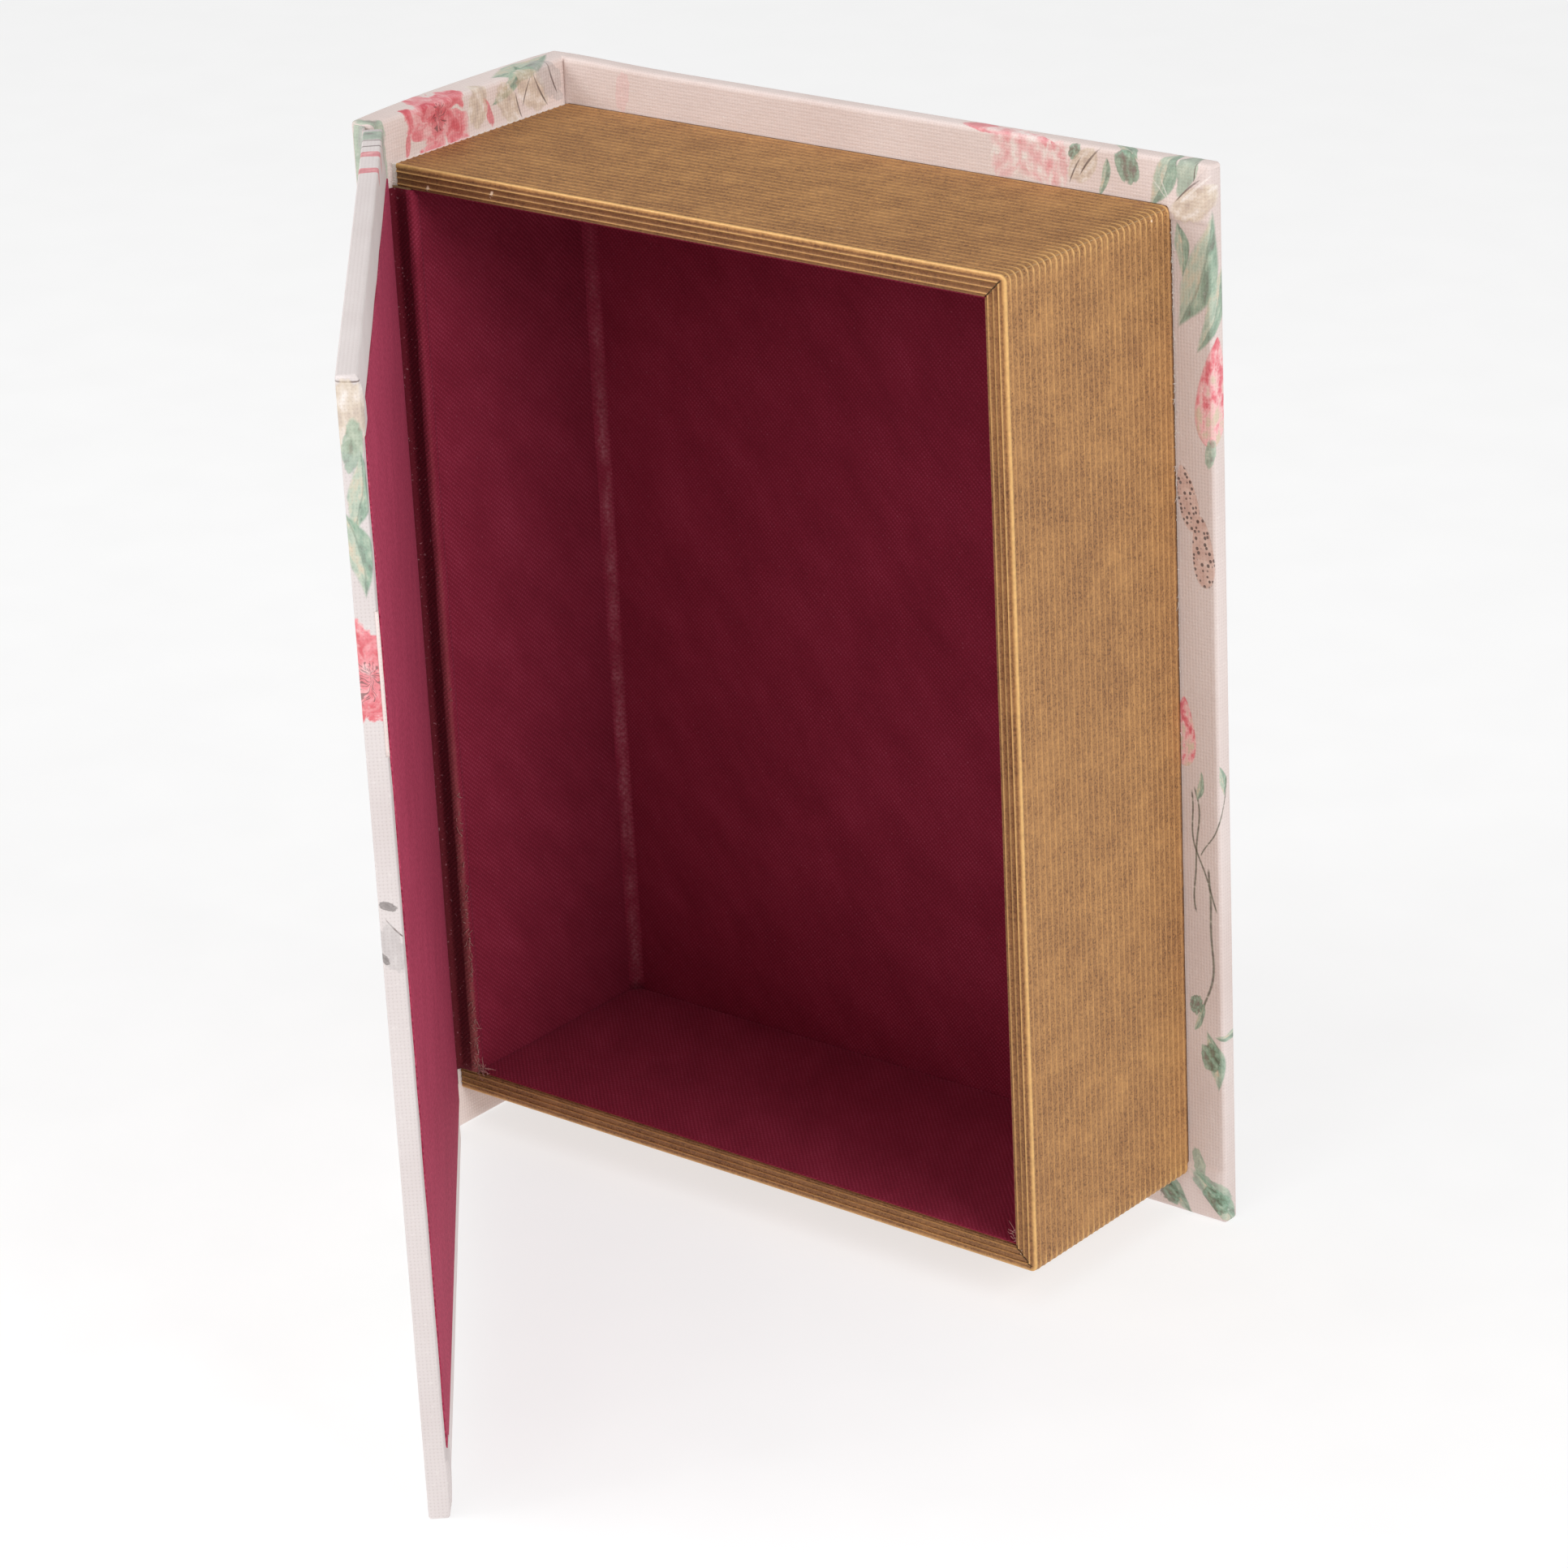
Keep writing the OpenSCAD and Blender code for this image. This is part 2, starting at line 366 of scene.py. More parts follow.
def paint_leaf(g, u, v, seed):
    """A pointed leaf, its midrib and edge dark, one half washed paler than the other."""
    wash = g.noise((u * 0.7 + seed * 5.0, v * 2.0), 3.0, detail=4, rough=0.6)
    bent = v - (u * u - 0.4) * 0.14 + (wash - 0.5) * 0.10
    half = (1.0 - u * u) * (0.28 + 0.06 * g.sin(u * 3.0 + seed * 9.0))
    cover = g.step(half - abs(bent), 0.0, 0.07)
    side = g.step(bent, -0.05, 0.05)
    tone = wash * 1.3 + side * 0.25 - 0.3
    colour = g.ramp(tone, [(0.1, GREEN_DARK), (0.34, GREEN), (0.56, GREEN_PALE), (0.8, CREAM)])
    rib = g.step(abs(bent), 0.03, 0.0) * 0.4
    rim = g.step(half - abs(bent), 0.05, 0.0) * 0.3
    colour = g.mix(g.smaller(rib + rim, 0.6), colour, GREEN_DARK)
    return cover * (0.62 + wash * 0.5), colour


def paint_bud(g, u, v, seed):
    """A closed bud: a drop of watery pink with a pale streak, and a thin outline on one side."""
    wash = g.noise((u + seed * 5.0, v * 1.8), 2.6, detail=4, rough=0.6)
    half = g.root(g.larger(1.0 - u * u, 0.0)) * (0.36 - u * 0.14)
    gap = half - abs(v)
    cover = g.step(gap, 0.0, 0.05)
    tone = wash * 1.5 - 0.3 + u * 0.14
    colour = g.ramp(tone, [(0.24, CREAM), (0.42, PINK_PALE), (0.58, PINK), (0.8, PINK_DEEP)])
    outline = g.step(gap, 0.10, 0.02) * g.step(v, -0.1, 0.15)
    colour = g.mix(outline * 0.4, colour, PINK_DEEP)
    return cover * (0.75 + wash * 0.4), colour


def paint_wing(g, u, v, seed):
    """One lobe of a moth's wing: rose-brown with rows of dark spots."""
    cover = g.step(u * u + v * v * g.larger(9.0 + u * 4.0, 5.0), 1.0, 0.86)
    cells = g.add("ShaderNodeTexVoronoi", Vector=g.vector(u + seed, v * 1.1), Scale=7.0, Randomness=0.55)
    spot = g.step(Value(g, cells.outputs["Distance"]), 0.42, 0.28)
    wash = g.noise((u + seed, v), 3.0, detail=3)
    roses = (srgb(196, 158, 146), srgb(220, 190, 178), srgb(230, 210, 200))
    colour = g.ramp(wash, list(zip((0.3, 0.6, 0.8), roses)))
    return cover * 0.9, g.mix(spot * 0.9, colour, srgb(66, 48, 46))


def paint_stem(g, u, v, seed):
    """A thin waving stem, dark and broken in places."""
    wave = g.sin(u * 2.6 + seed * 6.0) * 0.08 + g.sin(u * 6.0 + seed) * 0.02
    press = g.noise((u * 4.0 + seed, 0.0), 3.0)
    line = g.step(abs(v - wave), 0.014 + press * 0.022, 0.005)
    ends = g.step(abs(u), 1.0, 0.92)
    colour = g.ramp(press, [(0.4, srgb(118, 122, 102)), (0.6, srgb(88, 84, 74))])
    return line * ends * g.step(press, 0.28, 0.42) * 0.85, colour


def paint_ink(g, u, v, seed):
    """A single narrow stroke of brown ink that fades along its length."""
    press = g.noise((u * 2.0 + seed * 4.0, v), 3.0)
    bent = v + (u * u - 0.4) * 0.09
    shape = 1.0 - u * u - bent * bent * 330.0 * (1.4 - press)
    return g.step(shape, 0.0, 0.7) * (0.75 - u * 0.25), srgb(100, 82, 76)


def brush(narrow, ragged, fullness, stops):
    """A painter of loose brush marks: how narrow, ragged and opaque they are, and their colours."""
    def paint(g, u, v, seed):
        wash = g.noise((u + seed * 9.0, v * 1.7), 1.7, detail=3, rough=0.55)
        shape = 1.0 - u * u - v * v * narrow + (wash - 0.5) * ragged
        return g.step(shape, 0.0, 0.3) * (fullness * 0.7 + wash * 0.5), g.ramp(wash, stops)
    return paint


PAINTERS = {
    "peony": paint_peony,
    "leaf": paint_leaf,
    "bud": paint_bud,
    "wing": paint_wing,
    "stem": paint_stem,
    "ink": paint_ink,
    "smear": brush(7.0, 1.6, 0.7, [(0.3, GREEN_DARK), (0.45, GREEN), (0.65, GREEN_PALE)]),
    "dash": brush(12.0, 1.4, 0.8, [(0.35, PINK_DEEP), (0.55, PINK), (0.75, PINK_PALE)]),
    "veil": brush(3.0, 2.0, 0.45, [(0.35, PINK), (0.48, PINK_PALE), (0.62, WHITE)]),
    "stain": brush(5.0, 1.8, 0.0, [(0.3, PINK), (0.6, PINK_PALE)]),
    "husk": brush(3.2, 1.5, 0.6, [(0.3, srgb(170, 146, 122)), (0.5, CREAM), (0.7, WHITE)]),
    "blot": brush(1.9, 1.7, 0.8, [(0.32, BROWN), (0.42, OLIVE), (0.58, GREEN), (0.75, GREEN_PALE)]),
    "mist": brush(4.0, 2.2, 0.3, [(0.35, srgb(150, 144, 144)), (0.7, srgb(206, 200, 198))]),
    "dab": brush(4.0, 1.5, 0.8, [(0.3, srgb(78, 70, 68)), (0.7, srgb(160, 152, 150))]),
    "crease": brush(300.0, 0.6, 0.3, [(0.3, WHITE), (0.7, WHITE)]),
}
MOTIFS = {name: Motif(name, paint) for name, paint in PAINTERS.items()}

CANVAS_PITCH = 0.67 * MM
# Well past every edge of the sheet of canvas
FAR = 0.5
PINK_GROUND = (srgb(226, 208, 202), srgb(235, 220, 215))
PALE_GROUND = (srgb(222, 211, 209), srgb(231, 222, 220))
# Motifs repeated over the outer faces: (motif, cell, size, share kept, seed)
REPEATS = (
    ("stem", 46 * MM, 34 * MM, 1.0, 0.31),
    ("smear", 38 * MM, 14 * MM, 0.8, 0.77),
    ("leaf", 27 * MM, 15 * MM, 0.9, 0.13),
    ("leaf", 33 * MM, 19 * MM, 0.8, 0.57),
    ("bud", 41 * MM, 10 * MM, 0.65, 0.91),
    ("wing", 61 * MM, 9 * MM, 0.6, 0.43),
    ("peony", 62 * MM, 25 * MM, 1.0, 0.23),
)


def scatter(g, u, v, motif, cell, size, keep, seed):
    """(cover, colour) of a motif repeated at random places, about one in each square cell, and only
    where the whole motif stays between the head and tail edges."""
    place = g.vector(u / cell + seed * 3.7, v / cell + seed * 1.3)
    cells = g.add("ShaderNodeTexVoronoi", Vector=place, Scale=1.0, Randomness=0.45, voronoi_dimensions="2D")
    picks = g.add("ShaderNodeSeparateColor", cells.outputs["Color"])
    pick_a, pick_b, pick_c = (Value(g, socket) for socket in picks.outputs)
    offset = g.add("ShaderNodeVectorMath", place, cells.outputs["Position"], operation="SUBTRACT")
    point = g.add("ShaderNodeVectorMath", offset.outputs[0], operation="SCALE", Scale=cell).outputs[0]
    cover, colour = MOTIFS[motif].use(g, point, size * (0.75 + pick_b * 0.4), pick_a * math.tau, pick_c)
    _, at_v, _ = g.parts(cells.outputs["Position"])
    middle = (at_v - seed * 1.3) * cell - HEIGHT / 2
    whole = g.above(HEIGHT / 2 - size * 0.55, abs(middle))
    return cover * g.above(keep, pick_b) * whole, colour


def canvas_material(name, placed, scattered, ground=PINK_GROUND):
    """Plain-weave canvas with a printed garden: the placed motifs, and the repeats if scattered."""
    material, g, shader = new_material(name, roughness=0.62, specular=0.28, sheen=0.12)
    u, v, _ = g.parts(g.uv())
    wash = g.noise((u, v), 28, detail=3)
    colour = g.ramp(wash, [(0.35, ground[0]), (0.65, ground[1])])
    for repeat in REPEATS if scattered else ():
        cover, paint = scatter(g, u, v, *repeat)
        colour = g.mix(cover, colour, paint)
    for motif, at_u, at_v, size, turn, seed in placed:
        cover, paint = MOTIFS[motif].use(g, g.vector(u - at_u, v - at_v), size, turn, seed)
        colour = g.mix(cover, colour, paint)
    height, gap = plain_weave(g, u, v, CANVAS_PITCH)
    fleck = g.noise((u, v), 900, detail=2)
    rough = g.noise((u, v * 1.6), 420, detail=3, rough=0.65)
    colour = g.mix(gap * (0.04 + rough * 0.28), colour, srgb(176, 158, 154), blend="MULTIPLY")
    colour = g.mix(g.step(fleck, 0.6, 0.75) * 0.16, colour, srgb(250, 244, 240))
    g.coat(shader, colour, height * (0.2 + rough) + rough * 1.2, 0.06 * MM, 0.9)
    return material


def canvas_areas(name, sheet, prints, ground=PINK_GROUND):
    """(rectangle, material) for a board's outer face and each turned-in edge of its canvas, each
    with no more of the print than falls there."""
    width = sheet.width
    marks = [sheet.mark(*mark) for mark in prints]
    low, high, fore = sheet.rounding, HEIGHT - sheet.rounding, width - sheet.rounding
    rectangles = {
        "head": (-FAR, high, width + FAR, HEIGHT + FAR),
        "tail": (-FAR, -FAR, width + FAR, low),
        "fore_upper": (fore, HEIGHT / 2, width + FAR, high),
        "fore_lower": (fore, low, width + FAR, HEIGHT / 2),
        "outer": (-FAR, -FAR, width + FAR, HEIGHT + FAR),
    }
    areas = []
    for part, (a0, v0, a1, v1) in rectangles.items():
        outer = part == "outer"
        u0, u1 = sheet.span(a0, a1)
        left, right = sheet.span(0, width) if outer else (u0, u1)
        low, high = (0.0, HEIGHT) if outer else (v0, v1)
        here = [
            (motif, u, v, size, turn, seed) for motif, u, v, size, turn, seed in marks
            if left - size < u < right + size and low - size < v < high + size
        ]
        # Painted shade: the ground of every fore-edge area is darkened
        shade = 0.89 if part.startswith("fore") else 1.0
        colours = [tuple(shade * c for c in colour) for colour in ground]
        areas.append(((u0, v0, u1, v1), canvas_material(f"{name}_{part}", here, outer, colours)))
    return areas


def plain_weave(g, u, v, pitch):
    """(height, depth of the gaps), both 0 to 1, of threads that pass over and under in turn."""
    slub = g.noise((u, v), 500, detail=2)
    wave_u = g.cos(u * (math.pi / pitch) + slub * 0.9)
    wave_v = g.sin(v * (math.pi / pitch) + slub * 0.9)
    warp = abs(wave_u) * (0.5 + 0.5 * g.math("SIGN", wave_u) * wave_v)
    weft = abs(wave_v) * (0.5 - 0.5 * g.math("SIGN", wave_v) * wave_u)
    height = g.larger(warp, weft)
    return height + slub * 0.35, g.step(height, 0.45, 0.1)


# ---- the other materials


def burgundy_material(name, light, mid, dark, streaks=0.0, painted_light=None):
    """Matte twill: soft diagonal wales broken into short floats, with a bloom of lint.

    streaks is how strongly the warp shows as fine upright lines, and finish, if given, paints light
    and shade over the colour at (u, v), given patchy noise as well."""
    material, g, shader = new_material(name, roughness=0.8, specular=0.16, sheen=0.25)
    shader.inputs["Sheen Tint"].default_value = (*srgb(206, 110, 140), 1)
    u, v, _ = g.parts(g.uv())
    slub = g.noise((u, v), 380, detail=2) - 0.5
    wale = 0.5 + 0.5 * g.cos((u + v) * (math.tau / (1.02 * MM)) + slub * 3.5)
    float_ = 0.5 + 0.5 * g.cos((u - v) * (math.tau / (0.88 * MM)) + slub * 6.0)
    height = wale * (0.25 + 0.75 * float_)
    cloud = g.noise((u * 1.6 + v * 0.8, v), 60, detail=4, rough=0.6) - 0.5
    fade = g.noise((u, v), 12, detail=2) - 0.5
    warp = g.noise((u * 14.0, v), 120, detail=2) - 0.5
    patchy = g.noise((u, v), 130, detail=2)
    sand = g.noise((u, v), 2100, detail=2, rough=0.7) - 0.5
    lint = g.noise((u, v), 1300, detail=1)
    tone = height * (0.10 + patchy * 0.36) + cloud * 0.42 + fade * 0.25 + sand * 0.35 + 0.40
    tone = tone + (warp + (lint - 0.5) * 2.6) * streaks
    colour = g.ramp(tone, [(0.1, dark), (0.5, mid), (0.95, light)])
    colour = g.mix(g.step(lint, 0.60, 0.8) * (height + streaks) * 0.35, colour, srgb(182, 104, 124))
    # Painted light and shade, for the pieces that take it
    if painted_light is not None:
        colour = painted_light(g, u, v, colour, patchy, lint)
    g.coat(shader, colour, height + slub * 0.8 + sand + warp * streaks * 2.0, 0.10 * MM, 0.8)
    return material


def fold_highlight_and_wear(g, u, v, colour, patchy, lint):
    """Painted highlight with some rubbed wear: the soft pale line where the lining turns the tray's
    inner corner, lost towards the head.
    """
    line = g.step(abs(u - CORNER_REACH * 0.8 + (patchy - 0.5) * 1.2 * MM), 1.8 * MM, 0.0)
    highlight_and_wear = g.step(patchy, 0.3, 0.65) * g.step(v, HEIGHT - 16 * MM, HEIGHT - 80 * MM)
    return g.mix(line * highlight_and_wear * (0.25 + g.step(lint, 0.3, 0.75)) * 0.44, colour, srgb(186, 118, 128))


def hinge_gully_shade(g, u, v, colour, patchy, lint):
    """Paler on the rim, and painted shade where the cloth dips between rim and lid: very dark,
    with pale specks.
    """
    paler_on_rim = g.step(u, 0.8 * MM, 1.6 * MM) * g.step(v, HEIGHT, -0.3 * HEIGHT)
    colour = g.mix(paler_on_rim * (patchy + lint) * 0.45, colour, srgb(168, 112, 100))
    # Painted shade: the cloth that dips between rim and lid is darkened
    dark = g.step(u + (patchy - 0.5) * 0.8 * MM, 2.5 * MM, 3.0 * MM)
    colour = g.mix(dark * 0.84, colour, srgb(88, 8, 24))
    return g.mix(g.step(lint, 0.66, 0.74) * dark * 0.55, colour, srgb(178, 118, 128))


def gold_material():
    """Ribbed paper in a dull gold with faint mottling: thin crests painted lighter and brown speckle
    in the troughs, partly the paper's own speckle and partly painted highlight and shade.
    """
    material, g, shader = new_material("ribbed_gold", roughness=0.5, specular=0.35, metallic=0.2)
    place = g.position()
    crest, painted_highlight, rim = g.attribute("crest"), g.attribute("painted_highlight"), g.attribute("rim")
    cloud = g.noise(place, 120, detail=5, rough=0.65) - 0.5
    patch = g.noise(place, 24, detail=3) - 0.5
    speck = g.noise(place, 3000, detail=3, rough=0.75)
    fibre = g.noise(place, 1100, detail=3, rough=0.6) - 0.5
    # The crest term paints the crests lighter: partly painted highlight
    tone = crest * 0.22 + cloud * 0.60 + patch * 0.25 + fibre * 0.45 + (speck - 0.5) * 0.9 + 0.42
    browns = (srgb(118, 80, 54), srgb(160, 115, 73), srgb(192, 143, 90), srgb(217, 168, 108))
    colour = g.ramp(tone, list(zip((0.0, 0.35, 0.7, 1.0), browns)))
    # Brown speckle kept to the troughs: the paper's own speckle, laid where it also paints shade in the
    # hollows
    trough_speck_shade = g.step(speck, 0.51, 0.38) * g.step(crest, 0.8, 0.1) * g.step(cloud, 0.25, -0.1)
    colour = g.mix(trough_speck_shade * 0.72, colour, srgb(92, 58, 38))
    x, depth, z = g.parts(place)
    # Painted shade in the grooves of the rim strips, deepest along the head
    groove_shade = 0.26 + 0.3 * g.step(z, WRAP_HIGH.z - 6.0 * MM, WRAP_HIGH.z - 4.5 * MM)
    colour = g.mix(rim * g.step(crest, 0.5, 0.0) * groove_shade, colour, srgb(98, 60, 38))
    # Painted highlight on the ribs where they turn the tray's corners, added to the painted highlight that
    # the mesh carries
    turn = (WRAP_HIGH.x - x) + g.smaller(WRAP_HIGH.z - z, z - WRAP_LOW.z)
    painted_highlight = g.larger(painted_highlight, g.step(turn, 4.5 * MM, 0.6 * MM) * crest * (0.75 + cloud))
    colour = g.mix(painted_highlight * (0.62 + fibre * 0.8), colour, srgb(244, 196, 124))
    scuff = g.step(g.noise(place, 260, detail=2), 0.77, 0.79) * g.step(crest, 0.8, 1.0)
    for point in NICKS:
        away = g.add("ShaderNodeVectorMath", place, point, operation="DISTANCE").outputs["Value"]
        scuff = g.larger(scuff, g.step(Value(g, away) + fibre * 2.6 * MM, 0.5 * MM, 0.3 * MM))
    colour = g.mix(scuff * 0.75, colour, srgb(250, 228, 200))
    # Painted shadow: a dark line along the edge where the paper meets the back cover
    seam_shadow = g.step(depth + fibre * 0.9 * MM, WRAP_HIGH.y - 0.55 * MM, WRAP_HIGH.y - 0.15 * MM)
    colour = g.mix(seam_shadow * 0.8, colour, srgb(70, 44, 30))
    g.link(0.58 + (speck - 0.5) * 0.3 - painted_highlight * 0.2, shader.inputs["Roughness"])
    g.coat(shader, colour, speck * 0.6 + fibre, 0.05 * MM, 0.7)
    return material


def board_material():
    """Pressed fibreboard, hidden but for slivers: tan with darker fibres."""
    material, g, shader = new_material("fibreboard", roughness=0.85, specular=0.2)
    upright = g.add("ShaderNodeVectorMath", g.position(), (1, 1, 0.3), operation="MULTIPLY").outputs[0]
    fibre = g.noise(upright, 900, detail=4, rough=0.7)
    colour = g.ramp(fibre, [(0.3, srgb(150, 118, 84)), (0.7, srgb(190, 158, 118))])
    g.coat(shader, colour, fibre, 0.1 * MM)
    return material


def thread_material(name, colour):
    """Loose cotton thread."""
    material, g, shader = new_material(name, roughness=0.8, specular=0.15, sheen=0.4)
    twist = g.noise(g.position(), 3000, detail=1)
    shaded = tuple(0.7 * c for c in colour)
    g.link(g.ramp(twist, [(0.3, shaded), (0.7, colour)]), shader.inputs["Base Color"])
    return material


# ---- mesh helpers


def add_object(name, points, faces, loop_uv=None, material=None):
    """A smooth object from points and faces, with its sheet map."""
    mesh = bpy.data.meshes.new(name)
    mesh.from_pydata([tuple(p) for p in points], [], faces)
    if loop_uv is not None:
        layer = mesh.uv_layers.new(name="sheet")
        layer.data.foreach_set("uv", np.asarray(loop_uv, np.float32).ravel())
    mesh.validate()
    mesh.update()
    obj = bpy.data.objects.new(name, mesh)
    bpy.context.scene.collection.objects.link(obj)
    if material is not None:
        mesh.materials.append(material)
    mesh.shade_smooth()
    return obj


def outward(obj):
    """Turns a closed mesh's faces outwards."""
    bm = bmesh.new()
    bm.from_mesh(obj.data)
    bmesh.ops.recalc_face_normals(bm, faces=bm.faces)
    bm.to_mesh(obj.data)
    bm.free()
    return obj


def unit(x):
    """x kept between 0 and 1."""
    return np.clip(x, 0, 1)


def inset(a, z, width, height, run):
    """0 on the outline of a board, rising to 1 at the distance run inside it."""
    return unit(np.minimum.reduce([a, z, width - a, height - z]) / run)


def grid_faces(rows, columns, base=0):
    """Quads between rows of points, each row that many columns long, numbered from base."""
    corners = (0, 1, columns + 1, columns)
    return [
        [base + r * columns + c + k for k in corners] for r in range(rows - 1) for c in range(columns - 1)
    ]


def ripple(a, z, scale, amount, seed):
    """A wobble over the flat of a board."""
    return wobble(np.stack([a, z, np.zeros(len(a))], axis=1), scale, amount, seed)


def wobble(points, scale, amount, seed):
    """A smooth pseudo-random offset for each point, from a few crossed waves."""
    rng = np.random.default_rng(seed)
    total = np.zeros(len(points))
    for _ in range(7):
        direction = rng.normal(size=3)
        direction /= np.linalg.norm(direction)
        rate = rng.uniform(0.6, 1.8) * math.tau / scale
        total += np.sin(points @ direction * rate + rng.uniform(0, math.tau))
    return total / 7 * amount


def graded(low, high, margin, fine, coarse):
    """Places from low to high: every fine within margin of either end, and every coarse between."""
    near = np.arange(0, margin, fine)
    count = max(2, int(round((high - low - 2 * margin) / coarse)) + 1)
    inner = np.linspace(low + margin, high - margin, count)
    return np.concatenate([low + near, inner, (high - near)[::-1]])


class Sheet:
    """Where a covered board lies on the one flat sheet of canvas that wraps the whole case.

    The board's outer face is the middle of its part of the sheet. The sheet goes on past each outer
    edge, round it and in over the inner face, so what is on the inner face is mirrored there. A
    lining has no turn_ins: its inner face lies on the sheet as it is seen."""

    def __init__(self, width, thick, offset, sign, turn_ins, lead=0.0, rounding=EDGE_ROUND):
        self.width, self.thick, self.rounding = width, thick, rounding
        self.offset, self.sign, self.turn_ins, self.lead = offset, sign, turn_ins, lead
        self.wrap = math.pi * rounding + thick - 2 * rounding

    def place(self, across, up):
        return (self.offset + self.sign * across, up)

    def span(self, start, end):
        """The lower and the higher place on the sheet of two distances across the board."""
        return sorted(self.place(across, 0)[0] for across in (start, end))

    def side(self, across, up):
        """The edge that the canvas at this place of the inner face was turned in over."""
        gaps = {"head": HEIGHT - up, "tail": up, "fore": self.width - across}
        return min(self.turn_ins, key=lambda name: gaps[name], default=None)

    def inner(self, across, up, side):
        """The place on the sheet of a place on the inner face."""
        r = self.rounding
        if side == "head":
            return self.place(across, 2 * (HEIGHT - r) + self.wrap - up)
        if side == "tail":
            return self.place(across, 2 * r - self.wrap - up)
        if side == "fore":
            return self.place(2 * (self.width - r) + self.wrap - across, up)
        return self.place(across, up)

    def mark(self, motif, across, up, size, turn, seed):
        """A printed motif, given in millimetres as it looks on the inner face, as it lies on the sheet."""
        across, up = across * MM + self.lead, up * MM
        side = self.side(across, up)
        u, v = self.inner(across, up, side)
        turn = 180 - turn if side == "fore" else -turn
        if self.sign < 0:
            turn = 180 - turn
        return (motif, u, v, size * MM, math.radians(turn), seed)


CORNER_FAN = 5
ARC_STEPS = 4


def edge_rings(thick, rounding):
    """(reach, depth, distance from the outer face) for rings round a rounded edge, inner one first."""
    arc = [math.pi / 2 * s / ARC_STEPS for s in range(1, ARC_STEPS + 1)]
    wrap = math.pi * rounding + thick - 2 * rounding
    inner = [(rounding * math.sin(a), rounding * (1 - math.cos(a)), wrap - rounding * a) for a in arc]
    outer = [(reach, thick - depth, wrap - far) for reach, depth, far in reversed(inner)]
    return inner + outer, wrap


def edge_columns(n_a, n_z):
    """(line, line, direction) for each column of points round the outline, with a fan at each corner."""
    walk = [(i, 0, 270) for i in range(n_a)] + [(n_a - 1, j, 0) for j in range(n_z)]
    walk += [(i, n_z - 1, 90) for i in reversed(range(n_a))] + [(0, j, 180) for j in reversed(range(n_z))]
    columns = []
    for k, (i, j, facing) in enumerate(walk):
        columns.append((i, j, math.radians(facing)))
        if (i, j) == walk[(k + 1) % len(walk)][:2]:
            steps = range(1, CORNER_FAN - 1)
            columns += [(i, j, math.radians(facing + 90 * f / (CORNER_FAN - 1))) for f in steps]
    return columns


def panel(name, sheet, height, place, relief, material=None, fine=0.45 * MM, margin=13 * MM,
          coarse=6 * MM):
    """A covered board: an inner face, rounded edges and an outer face in one closed mesh.

    place maps (across, up, depth) arrays to points, where depth runs from 0 on the inner face to
    the board's thickness on the outer face. relief gives how far the inner face stands proud at
    (across, up), and the last three say where the mesh is fine."""
    edge = sheet.rounding
    lines_a, lines_z = (graded(edge, size - edge, margin, fine, coarse) for size in (sheet.width, height))
    n_a, n_z = len(lines_a), len(lines_z)
    flat = n_a * n_z
    grid_a, grid_z = (g.ravel() for g in np.meshgrid(lines_a, lines_z, indexing="ij"))
    rise = relief(grid_a, grid_z)
    faces, maps = [], []

    def inner_face(corners):
        faces.append([i * n_z + j for i, j in corners])
        spots = [(lines_a[i], lines_z[j]) for i, j in corners]
        side = sheet.side(*(sum(line) / len(spots) for line in zip(*spots)))
        maps.extend(sheet.inner(a, z, side) for a, z in spots)

    for i in range(n_a - 1):
        for j in range(n_z - 1):
            ring = [(i, j), (i + 1, j), (i + 1, j + 1), (i, j + 1)]
            if min(i, n_a - 2 - i) == min(j, n_z - 2 - j):
                # Cells on the mitre of a corner are cut along it
                if (i < n_a / 2) != (j < n_z / 2):
                    ring = ring[1:] + ring[:1]
                inner_face(ring[:3])
                inner_face([ring[0], ring[2], ring[3]])
            else:
                inner_face(ring)
            faces.append([flat + p * n_z + q for p, q in ring[::-1]])
            maps += [sheet.place(lines_a[p], lines_z[q]) for p, q in ring[::-1]]

    i, j, facing = (np.array(values) for values in zip(*edge_columns(n_a, n_z)))
    under, count = i * n_z + j, len(facing)
    col_a, col_z, dir_a, dir_z = lines_a[i], lines_z[j], np.cos(facing), np.sin(facing)
    rings, wrap = edge_rings(sheet.thick, sheet.rounding)
    across = [grid_a, grid_a] + [col_a + dir_a * ring[0] for ring in rings]
    up = [grid_z, grid_z] + [col_z + dir_z * ring[0] for ring in rings]
    depth = [-rise, np.full(flat, sheet.thick)]
    depth += [ring[1] - rise[under] * max(0.0, 1 - s / ARC_STEPS) for s, ring in enumerate(rings)]
    # The rings' points, from the inner face's outline to the outer face's, and how far each lies
    # past the outer face's outline on the sheet
    levels = [under] + [2 * flat + s * count + np.arange(count) for s in range(len(rings))] + [flat + under]
    far = [wrap] + [ring[2] for ring in rings] + [0.0]
    for s in range(len(rings) + 1):
        for c in range(count):
            n = (c + 1) % count
            quad = {}
            for r, k in ((s, c), (s, n), (s + 1, n), (s + 1, c)):
                spot = (col_a[k] + dir_a[k] * far[r], col_z[k] + dir_z[k] * far[r])
                quad.setdefault(int(levels[r][k]), spot)
            faces.append(list(quad)[::-1])
            maps += [sheet.place(*spot) for spot in reversed(quad.values())]
    points = place(*(np.concatenate(parts) for parts in (across, up, depth)))
    return outward(add_object(name, points, faces, maps, material))


